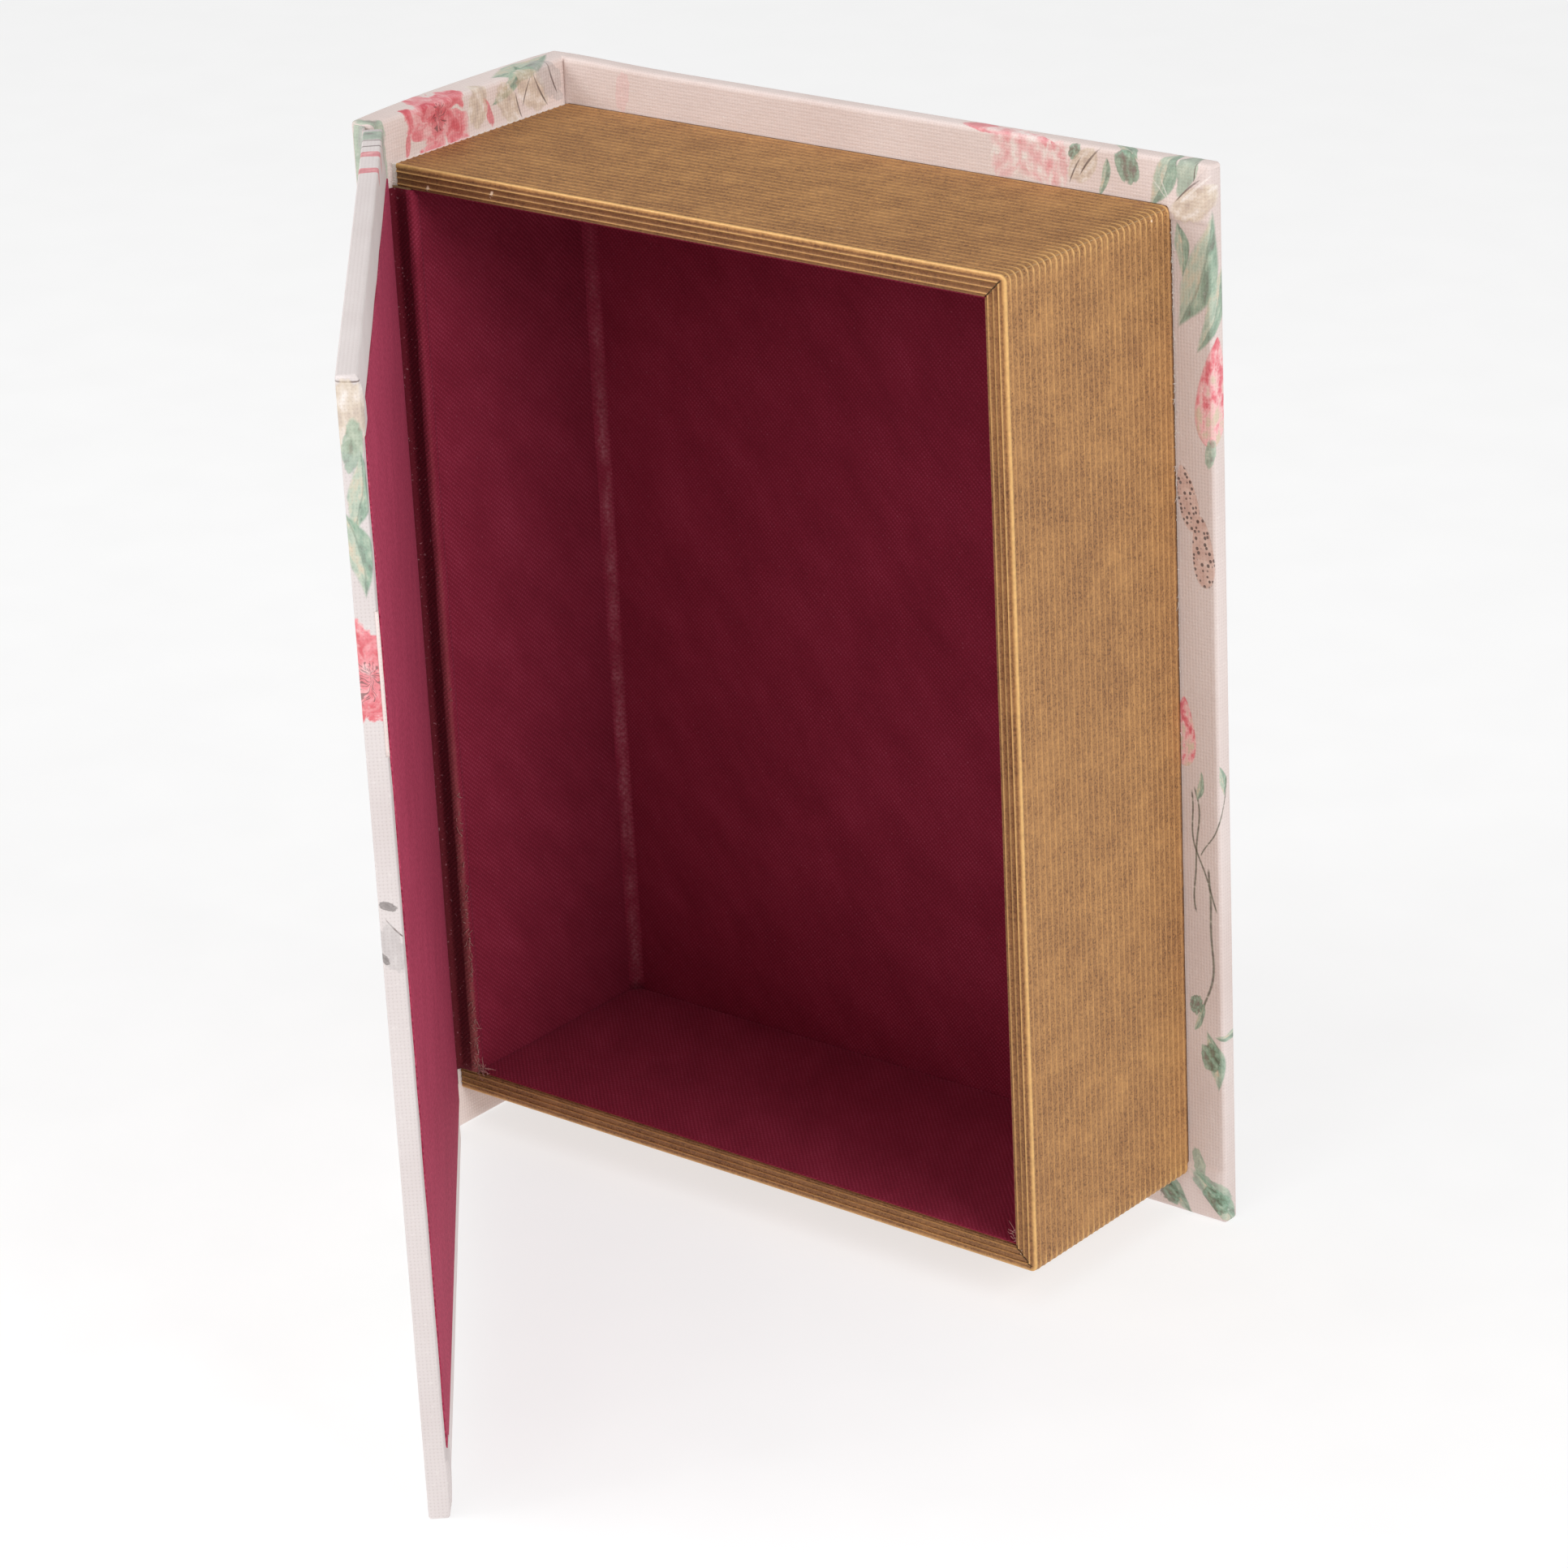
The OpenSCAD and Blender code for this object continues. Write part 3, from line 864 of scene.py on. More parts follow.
def covered_board(name, sheet, areas, place, relief, coarse=6 * MM):
    """A board in printed canvas: each face takes the first area of the sheet that its middle is in."""
    piece = panel(name, sheet, HEIGHT, place, relief, coarse=coarse)
    mesh = piece.data
    for _, material in areas:
        mesh.materials.append(material)
    uv = mesh.uv_layers["sheet"].data
    for polygon in mesh.polygons:
        u, v = (sum(uv[k].uv[axis] for k in polygon.loop_indices) / polygon.loop_total for axis in (0, 1))
        for index, ((u0, v0, u1, v1), _) in enumerate(areas):
            if u0 <= u <= u1 and v0 <= v <= v1:
                polygon.material_index = index
                break
    return piece


def ribbon(name, path, low, high, rows, material, thick, lift=None):
    """A strip of cloth: path is its section in X and Y, drawn from Z low to high, thick metres thick.

    The section is doubled into a closed skin. lift(z, distance) may add a small offset along X and Y."""
    path = np.asarray(path, float)
    run = np.concatenate([[0], np.cumsum(np.linalg.norm(np.diff(path, axis=0), axis=1))])
    tangent = np.gradient(path, axis=0)
    tangent /= np.linalg.norm(tangent, axis=1)[:, None]
    normal = np.stack([tangent[:, 1], -tangent[:, 0]], axis=1)
    levels = np.linspace(low, high, rows)
    n = len(path)
    points, maps = [], []
    for side in (0.5, -0.5):
        for z in levels:
            section = path + normal * side * thick
            if lift is not None:
                section = section + normal * lift(z, run)[:, None]
            points += [(x, y, z) for x, y in section]
            maps += [(d, z) for d in run]
    faces = []
    half = n * rows
    for quad in grid_faces(rows, n):
        faces += [quad, [half + q for q in quad[::-1]]]
    rim = list(range(n)) + [r * n + n - 1 for r in range(1, rows)]
    rim += [half - 1 - i for i in range(1, n)]
    rim += [r * n for r in reversed(range(1, rows - 1))]
    for a, b in zip(rim, rim[1:] + rim[:1]):
        faces.append([b, a, half + a, half + b])
    loop_uv = [maps[i] for f in faces for i in f]
    return outward(add_object(name, points, faces, loop_uv, material))


def bezier(points, steps):
    """Points along a Catmull-Rom curve through points, steps to a span."""
    points = [np.array(p, float) for p in points]
    padded = [2 * points[0] - points[1], *points, 2 * points[-1] - points[-2]]
    out = []
    for a, b, c, d in zip(padded, padded[1:], padded[2:], padded[3:]):
        for k in range(steps):
            t = k / steps
            out.append(0.5 * (2 * b + (c - a) * t + (2 * a - 5 * b + 4 * c - d) * t * t
                              + (3 * b - a - 3 * c + d) * t ** 3))
    return out + [points[-1]]


# ---- the covered boards

SPINE_WIDTH = SPINE_HIGH.y - SPINE_LOW.y
JOINT_WIDTH = BACK_LOW.x - SPINE_INSIDE
# The canvas of the back cover runs on over the joint and ends inside the spine
BACK_TUCK = 1.6 * MM
BACK_LEAD = JOINT_WIDTH + BACK_TUCK
BACK_REACH = COVER_WIDTH + BACK_LEAD
BACK_SHEET = Sheet(BACK_REACH, COVER_THICK, BACK_LEAD, -1, ("head", "tail", "fore"), BACK_LEAD)
SPINE_SHEET = Sheet(SPINE_WIDTH, SPINE_EDGE_THICK, JOINT_WIDTH, 1, ("head", "tail"))
LID_SHEET = Sheet(
    COVER_WIDTH, LID_THICK, 2 * JOINT_WIDTH + SPINE_WIDTH, 1, ("head", "tail", "fore"), rounding=LID_ROUND
)


def fold_relief(width, height, fold_ends):
    """How far the turned-in canvas stands proud of a cover's inner face: slight waviness everywhere,
    and at each corner named in fold_ends the raised flap of the folded corner."""
    flap = 11 * MM
    proud = 0.62 * MM
    soft = 0.3 * MM

    def past(gap):
        return unit(gap / soft + 0.5)

    def relief(a, z):
        rise = ripple(a, z, 22 * MM, 0.10 * MM, 3) + ripple(a, z, 6 * MM, 0.04 * MM, 4)
        for end_a, end_z in fold_ends:
            p = width - a if end_a else a
            q = height - z if end_z else z
            over = past(q - p) * past(flap - q)
            bulge = 0.6 + 0.4 * np.sin(unit(q / flap) * math.pi)
            under = past(p - q) * past(flap * 0.95 - p)
            rise = rise + proud * over * bulge + 0.14 * MM * under * unit((flap - q) / soft)
        return rise * inset(a, z, width, height, 1.6 * MM)

    return relief


def corner_lift(x, y, z):
    """How far the thick folds of canvas lift the head end where the spine meets the back cover."""
    away = np.hypot(x - SPINE_INSIDE, y)
    return 0.5 * MM * np.exp(-((away / (15 * MM)) ** 2)) * unit((z - HEIGHT) / (9 * MM) + 1)


def back_cover(areas):
    """The back cover with the joint to the spine: its inner face shows as a margin round the tray."""
    relief = fold_relief(BACK_REACH, HEIGHT, [(True, True), (True, False)])
    joint = (SPINE_INSIDE + BACK_LOW.x) / 2 - 0.2 * MM

    def place(a, z, depth):
        x = SPINE_INSIDE - BACK_TUCK + a
        share = depth / COVER_THICK
        dip = np.where(x < joint, 1.0, np.exp(-(((x - joint) / (1.5 * MM)) ** 2)))
        open_joint = unit((np.minimum(z, HEIGHT - z) - 2 * MM) / (9 * MM))
        y = BACK_LOW.y + depth - 0.95 * MM * dip * share * open_joint
        return np.stack([x, y, z + corner_lift(x, y, z)], axis=1)

    def margin(a, z):
        crease = np.exp(-(((a - BACK_TUCK) / (0.4 * MM)) ** 2)) * 0.5 * MM
        return relief(a, z) - crease

    piece = covered_board("back_cover_cloth", BACK_SHEET, areas, place, margin)
    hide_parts("back_canvas", "back_joint_canvas")
    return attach(piece, "case")


def lid_cover(areas):
    """The front cover, built closed and then swung to where it rests."""
    def place(a, z, depth):
        return np.stack([BACK_LOW.x + a, LID_INSIDE - depth, z], axis=1)
    relief = fold_relief(COVER_WIDTH, HEIGHT, [(True, True), (True, False)])
    piece = covered_board("lid_cloth", LID_SHEET, areas, place, relief)
    piece.data.transform(SWING)
    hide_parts("lid_canvas")
    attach(piece, "lid")


def lid_turned_edge(canvas):
    """A short stretch of the turned-in canvas that has lifted along the lid's fore-edge."""
    edge = BACK_HIGH.x
    corners = ((0.9, -0.1), (0.7, 0.14), (0.3, 0.16), (0.1, 0.02), (0.02, -0.35))
    path = [(edge - inwards * MM, LID_INSIDE + rise * MM) for inwards, rise in corners]
    piece = ribbon("lid_turned_edge", bezier(path, 3), 144 * MM, 169.5 * MM, 24, canvas, 0.16 * MM)
    piece.data.transform(SWING)
    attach(piece, "lid")


def spine_cover(areas):
    """The spine: flat inside, bowed outside, its edges rounded like the covers'."""
    def place(a, z, depth):
        share = unit(a / SPINE_WIDTH)
        bow = SPINE_BOW * (1 - (2 * share - 1) ** 2)
        stretch = (SPINE_EDGE_THICK + bow) / SPINE_EDGE_THICK
        x, y = SPINE_INSIDE - depth * stretch, SPINE_HIGH.y - a
        return np.stack([x, y, z + corner_lift(x, y, z)], axis=1)

    def relief(a, z):
        return ripple(a, z, 18 * MM, 0.10 * MM, 8) * inset(a, z, SPINE_WIDTH, HEIGHT, 1.6 * MM)

    piece = covered_board("spine_cloth", SPINE_SHEET, areas, place, relief, coarse=3 * MM)
    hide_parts("spine_canvas")
    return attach(piece, "case")


# ---- the joints of cloth


def from_pivot(x, y):
    """A point given in millimetres from the hinge line, as (x, y) in metres."""
    return (PIVOT.x + x * MM, PIVOT.y + y * MM)


def joint_cloths(canvas, burgundy):
    """The canvas across the front joint, and the burgundy cloth from the tray's rim on to the lid."""
    gap = 0.6 * MM
    bend = ((-2.6, 0.75), (-0.4, 0.62), (0.9, -0.15), (1.9, -1.35), (3.1, -2.5), (4.6, -4.0))
    outer = bezier([from_pivot(*place) for place in bend], 5)
    front = ribbon("front_joint_cloth", outer, gap, HEIGHT - gap, 90, canvas, 0.5 * MM)
    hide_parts("front_joint_canvas")
    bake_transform(front)

    rim_inner = WALL_HIGH.x + 0.5 * MM
    rim = RIM - 0.12 * MM
    lid_edge = SWING @ Vector((BACK_LOW.x + 1.4 * MM, LID_INSIDE + 0.28 * MM, 0))
    lid_round = SWING @ Vector((BACK_LOW.x - 0.1 * MM, LID_INSIDE - 1.2 * MM, 0))
    knots = [
        (rim_inner, RIM + 1.6 * MM),
        (rim_inner - 0.05 * MM, RIM + 0.5 * MM), (rim_inner - 0.6 * MM, rim),
        (WALL_LOW.x + 2.4 * MM, rim - 0.05 * MM), (WALL_LOW.x + 0.9 * MM, rim - 0.15 * MM),
        (SPINE_INSIDE + 0.28 * MM, RIM - 1.3 * MM), (SPINE_INSIDE + 0.3 * MM, RIM - 3.0 * MM),
        from_pivot(2.6, 0.7), (lid_round.x, lid_round.y), (lid_edge.x, lid_edge.y),
    ]

    def rumple(z, run):
        return 0.07 * MM * np.sin(z / (9.1 * MM)) * np.cos(run / (1.9 * MM) + z / (23 * MM))

    inner = ribbon(
        "hinge_cloth", bezier(knots, 4), HINGE_LOW.z + 0.3 * MM, HINGE_HIGH.z - 0.3 * MM, 110, burgundy,
        0.22 * MM, lift=rumple
    )
    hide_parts("hinge_lining")
    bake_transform(inner)


# ---- the ribbed tray

RIB_PITCH = 1.68 * MM
RIB_HEIGHT = 0.17 * MM
RIM_RIB_HEIGHT = 0.27 * MM
CORNER_ROUND = 1.5 * MM
RIM_ROUND = 0.8 * MM
# Section of one rib: share of the pitch, share of the height
RIB = [
    (0.0, 0.0), (0.2, 0.03), (0.35, 0.22), (0.44, 0.75), (0.5, 1.0), (0.56, 0.75), (0.65, 0.22), (0.8, 0.03),
]
# Share of a rim strip that is left open at each mitre
MITRE_GAP = 0.0012
# Small white nicks in the paper: two on the head rim, one at the tail corner and one at the back
NICKS = (
    (WRAP_LOW.x + 8 * MM, RIM, WRAP_HIGH.z - 3.8 * MM),
    (WRAP_LOW.x + 24 * MM, RIM, WRAP_HIGH.z - 2.7 * MM),
    (WRAP_HIGH.x - 3.6 * MM, RIM, WRAP_LOW.z + 3.4 * MM),
    (WRAP_HIGH.x - 0.5 * MM, WRAP_HIGH.y - 6.0 * MM, WRAP_HIGH.z - 1.6 * MM),
)


def rib_section():
    """(distance, rise) along a section from the cover to the rim's rounded edge."""
    depth = WRAP_HIGH.y - RIM - RIM_ROUND
    ribs = int(depth / RIB_PITCH)
    start = depth - ribs * RIB_PITCH
    section = [(0.0, 0.0)]
    for k in range(ribs):
        section += [(start + (k + s) * RIB_PITCH, h) for s, h in RIB]
    return section + [(depth, 0.0)]


def wrap_walk():
    """(x, z, direction) stations along the outside of the head, fore-edge and tail walls."""
    x0, x1, z0, z1, r = WRAP_LOW.x, WRAP_HIGH.x, WRAP_LOW.z, WRAP_HIGH.z, CORNER_ROUND
    walk = [(x, z1, 0, 1) for x in np.linspace(x0, x1 - r, 26)]
    for middle_z, start in ((z1 - r, math.pi / 2), (z0 + r, 0.0)):
        for a in np.linspace(start, start - math.pi / 2, 9)[1:-1]:
            walk.append((x1 - r + r * math.cos(a), middle_z + r * math.sin(a), math.cos(a), math.sin(a)))
        if start:
            walk += [(x1, z, 1, 0) for z in np.linspace(z1 - r, z0 + r, 34)]
    return walk + [(x, z0, 0, -1) for x in np.linspace(x1 - r, SPINE_INSIDE, 26)]


def ribbed_walls():
    """(points, marks, faces) of the paper on the walls; a mark is a point's crest, painted highlight and
    rim.
    """
    section = [(WRAP_HIGH.y - d, (h - 1) * RIB_HEIGHT, h, 0.0) for d, h in rib_section()]
    for a in np.linspace(0, math.pi / 2, 9)[1:]:
        bead = math.sin(a * 2) ** 2
        inwards = RIB_HEIGHT + RIM_ROUND * (1 - math.cos(a)) - 0.2 * MM * bead
        front = RIM + RIM_ROUND * (1 - math.sin(a)) + 0.1 * MM - 0.1 * MM * bead
        # The bead of the rounded rim edge carries a painted highlight
        section.append((front, -inwards, bead, bead))
    points, marks = [], []
    walk = wrap_walk()
    for x, z, nx, nz in walk:
        for y, rise, crest, painted_highlight in section:
            points.append((x + nx * rise, y, z + nz * rise))
            marks.append((crest, painted_highlight, 0.0))
    return points, marks, grid_faces(len(walk), len(section))


def ribbed_rim(points, marks, faces):
    """Adds the strips of paper folded over the rim, mitred where they meet."""
    x0, x1, z0, z1, r = WRAP_LOW.x, WRAP_HIGH.x, WRAP_LOW.z, WRAP_HIGH.z, CORNER_ROUND
    section = rim_section()
    strips = (
        (lambda w, s: (x0 + s * (x1 - w - x0), z1 - w), 40),
        (lambda w, s: (x1 - w, z1 - w - s * (z1 - z0 - 2 * w)), 50),
        (lambda w, s: (x1 - w - s * (x1 - w - SPINE_INSIDE), z0 + w), 40),
    )
    bend = r - RIB_HEIGHT - RIM_ROUND
    for along, steps in strips:
        base = len(points)
        for k in range(steps + 1):
            for w, h, painted_highlight in section:
                x, z = along(w, min(max(k / steps, MITRE_GAP), 1 - MITRE_GAP))
                side, end = (1, z1) if z > (z0 + z1) / 2 else (-1, z0)
                out = Vector((x - x1 + r, side * (z - end) + r))
                if min(out) > 0 and out.length > bend:
                    # The outermost line of the strip follows the rounded corner of the walls
                    out *= bend / out.length
                    x, z = x1 - r + out.x, end + side * (out.y - r)
                points.append((x, RIM + 0.1 * MM - h * RIM_RIB_HEIGHT, z))
                # Each point's crest, painted highlight and rim flag
                marks.append((max(h, 0.0), painted_highlight, 1.0))
        faces += grid_faces(steps + 1, len(section), base)


def tray_wrap(material):
    """Ribbed paper round the head, fore-edge and tail walls, with its strips folded over the rim."""
    points, marks, faces = ribbed_walls()
    ribbed_rim(points, marks, faces)
    points = np.array(points)
    sway = wobble(points, 60 * MM, 0.10 * MM, 21)
    points[:, 1] += sway * unit((WRAP_HIGH.y - points[:, 1]) / (4 * MM))
    piece = add_object("page_paper", points, faces, None, material)
    for name, values in zip(("crest", "painted_highlight", "rim"), zip(*marks)):
        attribute = piece.data.attributes.new(name, "FLOAT", "POINT")
        attribute.data.foreach_set("value", np.array(values, np.float32))
    middle = (WRAP_LOW + WRAP_HIGH) / 2
    face_outwards(piece, Vector((middle.x, (RIM + WRAP_HIGH.y) / 2 + 0.02, middle.z)))
    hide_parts("page_wrap")
    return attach(piece, "case")


def rim_section():
    """(distance in from the outside, height, painted highlight) across the strip folded over the rim."""
    start = RIB_HEIGHT + RIM_ROUND
    full = WALL_HIGH.x - WALL_LOW.x + 0.1 * MM
    # (height, painted highlight) of the three ribs, outermost first
    ribs = ((1.0, 1.0), (0.8, 0.45), (0.9, 0.7))
    pitch = (full - start) / len(ribs)
    section = [(start, 0.0, 0.0)]
    for k, (tall, rib_highlight) in enumerate(ribs):
        for share, height in RIB[1:] + [(1.0, 0.0)]:
            section.append((start + (k + share) * pitch, height * tall, height ** 2 * rib_highlight))
    return section + [(full + 0.15 * MM, -1.2, 0.0), (full + 0.2 * MM, -3.6, 0.0)]


def face_outwards(obj, inside):
    """Flips the faces of an open skin that look towards the point inside."""
    mesh = obj.data
    flip = [p.index for p in mesh.polygons if p.normal.dot(p.center - inside) < 0]
    bm = bmesh.new()
    bm.from_mesh(mesh)
    bm.faces.ensure_lookup_table()
    bmesh.ops.reverse_faces(bm, faces=[bm.faces[i] for i in flip])
    bm.to_mesh(mesh)
    bm.free()


# ---- the linings


def lining(name, node, material, origin, across, up, out, width, height, thick, seed, puff=0.12 * MM):
    """A cloth lining glued to a wall: origin is a corner of its back, across and up its edges."""
    origin, across, up, out = (np.array(v, float) for v in (origin, across, up, out))

    def place(a, z, depth):
        return origin + np.outer(a, across) + np.outer(z, up) + np.outer(thick - depth, out)

    def relief(a, z):
        rise = ripple(a, z, 34 * MM, puff, seed) + ripple(a, z, 9 * MM, puff * 0.3, seed + 1)
        return rise * inset(a, z, width, height, 2.5 * MM)

    sheet = Sheet(width, thick, 0.0, 1, (), rounding=thick * 0.32)
    piece = panel(name, sheet, height, place, relief, material, fine=1.5 * MM, margin=6 * MM, coarse=5 * MM)
    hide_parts(node)
    return piece


def tray_linings(material, fillet):
    """The linings of the tray's floor and its four walls, and the fillet between two of them."""
    low, high = FLOOR_LOW, FLOOR_HIGH
    wide, tall = high.x - low.x, high.z - low.z
    setback = 0.45 * MM
    front = RIM + setback
    deep = low.y - RIM - setback
    cloth, card = 0.5 * MM, high.y - low.y
    x, y, z = (1, 0, 0), (0, 1, 0), (0, 0, 1)
    tall_side = tall - 2 * cloth
    # Piece, node, board behind, corner, two edges, way out, built size, thickness, flat size, seed
    cloths = (
        ("floor_cloth", "floor_lining", "back_cover_cloth", (low.x, high.y, low.z), x, z, (0, -1, 0),
         wide, tall, card, (wide, tall), 31),
        ("head_wall_cloth", "head_lining", "head_wall", (low.x, front, high.z), x, y, (0, 0, -1),
         wide, deep, cloth, (wide, deep), 33),
        ("tail_wall_cloth", "tail_lining", "tail_wall", (low.x, front, low.z), x, y, z,
         wide, deep, cloth, (wide, deep), 35),
        ("fore_edge_wall_cloth", "fore_edge_lining", "fore_edge_wall", (high.x, front, low.z + cloth), y, z,
         (-1, 0, 0), deep, tall_side, cloth, (deep, tall), 37),
        ("spine_wall_cloth", "spine_wall_lining", "spine_wall", (low.x, front, low.z + cloth), y, z, x,
         deep, tall_side, cloth, (deep, tall), 39),
    )
    for name, node, back, start, across, up, out, width, height, thick, flat, seed in cloths:
        piece = lining(name, node, material, start, across, up, out, width, height, thick, seed)
        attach(piece, "case")
        joined = []
        if name == "spine_wall_cloth":
            joined = [corner_cloth(fillet, low.x + cloth, low.y, low.z + cloth, high.z - cloth)]


CORNER_REACH = 2.6 * MM


def corner_cloth(material, x, y, low, high):
    """The lining bridges the corner between the spine-side wall and the floor in a soft fillet."""
    path = []
    for a in np.linspace(0, math.pi / 2, 17):
        sink = 0.30 * MM * (1 - math.sin(2 * a)) ** 2
        over = CORNER_REACH * (1 - math.cos(a)) - sink
        out = CORNER_REACH * (1 - math.sin(a)) - sink
        path.append((x + over, y - out))

    def sag(z, run):
        return 0.18 * MM * np.sin(z / (17 * MM)) * np.sin(run / run[-1] * math.pi)

    piece = ribbon("corner_cloth", path, low, high, 70, material, 0.2 * MM, lift=sag)
    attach(piece, "case")
    return piece


# Margin of canvas above and below the lid's lining
LID_MARGIN = 9.3 * MM


def lid_panel(material):
    """The lining panel inside the lid, built closed and then swung to where the lid rests."""
    width, height = COVER_WIDTH - 6.6 * MM, HEIGHT - 2 * LID_MARGIN
    start = (BACK_LOW.x + 1.2 * MM, LID_INSIDE - 0.12 * MM, LID_MARGIN)
    piece = lining("lid_lining_cloth", "lid_lining", material, start, (1, 0, 0), (0, 0, 1), (0, 1, 0),
                   width, height, 0.42 * MM, 41, puff=0.06 * MM)
    piece.data.transform(SWING)
    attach(piece, "lid")


# ---- loose threads and a bare strip

# The closed lid clears threads that stand no further than this off the rim
THREAD_STAND = 0.4 * MM


def threads(name, material, starts, seed, length, thick):
    """Short loose threads, each a thin bent tube rooted at one of starts with a rough direction."""
    rng = np.random.default_rng(seed)
    sides, rings = 5, 6
    points, faces = [], []
    for root, lean in starts:
        root, lean = np.array(root, float), np.array(lean, float)
        lean /= np.linalg.norm(lean)
        reach = length * rng.uniform(0.5, 1.3)
        bend = rng.normal(size=3) * 0.5
        shares = np.linspace(0, 1, rings)
        spine = np.array([root + lean * reach * t + bend * reach * t * t for t in shares])
        spine[:, 1] = np.maximum(spine[:, 1], RIM - THREAD_STAND)
        side = np.cross(lean, rng.normal(size=3))
        side /= np.linalg.norm(side)
        other = np.cross(lean, side)
        base = len(points)
        for k, centre in enumerate(spine):
            radius = thick * (1 - 0.5 * k / (rings - 1))
            for q in range(sides):
                a = math.tau * q / sides
                points.append(centre + (side * math.cos(a) + other * math.sin(a)) * radius)
        for k in range(rings - 1):
            for q in range(sides):
                n = (q + 1) % sides
                faces.append([base + k * sides + q, base + k * sides + n,
                              base + (k + 1) * sides + n, base + (k + 1) * sides + q])
        faces.append([base + q for q in reversed(range(sides))])
        faces.append([base + (rings - 1) * sides + q for q in range(sides)])
    piece = outward(add_object(name, points, faces, None, material))
    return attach(piece, "case")


def frays(burgundy_thread, white_thread):
    """Frayed edges: at the tail end of the spine-side rim and along the cut canvas beside the wrap."""
    rng = np.random.default_rng(5)
    rim_x = WALL_HIGH.x + 0.4 * MM
    starts = []

    def root(x, y, z, *leans):
        """Adds a root, with a direction drawn at random between the two limits on each axis."""
        starts.append(((x, y, z), [rng.uniform(*limits) for limits in leans]))

    for _ in range(150):
        z = FLOOR_LOW.z + abs(rng.normal()) * 30 * MM
        x = rim_x + rng.uniform(-0.7, 0.5) * MM
        root(x, RIM + 0.2 * MM, z, (-0.4, 0.8), (-0.7, 0.2), (-0.9, 0.9))
    for _ in range(40):
        x = rim_x + rng.uniform(-0.6, 2.4) * MM
        z = FLOOR_LOW.z + rng.uniform(0.2, 1.8) * MM
        root(x, RIM + 0.2 * MM, z, (-0.4, 1.0), (-0.6, 0.2), (-0.4, 1.0))
    for _ in range(14):
        x = FLOOR_HIGH.x - rng.uniform(0.2, 1.2) * MM
        z = FLOOR_LOW.z + rng.uniform(0.4, 3.5) * MM
        root(x, RIM + 0.5 * MM, z, (-1, 0.2), (-0.6, 0.2), (-0.4, 0.9))
    piece = threads("rim_frays", burgundy_thread, starts, 6, 1.1 * MM, 0.10 * MM)

    starts.clear()
    for k in range(16):
        x = SPINE_INSIDE + rng.uniform(0.3, 1.0) * MM
        z = WRAP_HIGH.z - (0.3 + 0.35 * k) * MM
        lean = (rng.uniform(-0.5, 0.5), -0.6, rng.uniform(-1, 1))
        starts.append(((x, RIM + 0.1 * MM, z), lean))
    for _ in range(150):
        z = WRAP_HIGH.z - 3 * MM - abs(rng.normal()) * 42 * MM
        y = WRAP_HIGH.y - rng.uniform(0.0, 0.25) * MM
        root(WRAP_HIGH.x - 0.1 * MM, y, z, (0.3, 1.0), (-0.6, 0.0), (-1, 1))
    piece = threads("canvas_frays", white_thread, starts, 7, 0.7 * MM, 0.06 * MM)


def bare_strip(material):
    """The cut edge of canvas that shows between the spine and the ribbed paper at the head."""
    x0, x1 = SPINE_INSIDE - 0.1 * MM, WRAP_LOW.x + 0.3 * MM
    y0, y1 = WRAP_HIGH.y, RIM + 0.25 * MM
    top = WRAP_HIGH.z - 0.35 * MM
    path = [(x0, y0), (x1, y0), (x1, y1), (x0, y1)]
    points = [(x, y, z) for z in (top, top - 5 * MM) for x, y in path]
    faces = [[0, 1, 2, 3], [7, 6, 5, 4], [0, 4, 5, 1], [1, 5, 6, 2], [2, 6, 7, 3], [3, 7, 4, 0]]
    maps = [(points[i][0] + 0.3, points[i][1]) for f in faces for i in f]
    piece = outward(add_object("head_bare_strip", points, faces, maps, material))
    bevel = piece.modifiers.new("rounding", "BEVEL")
    bevel.width = 0.12 * MM
    bevel.segments = 2
    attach(piece, "case")


# ---- where the print falls on the inside

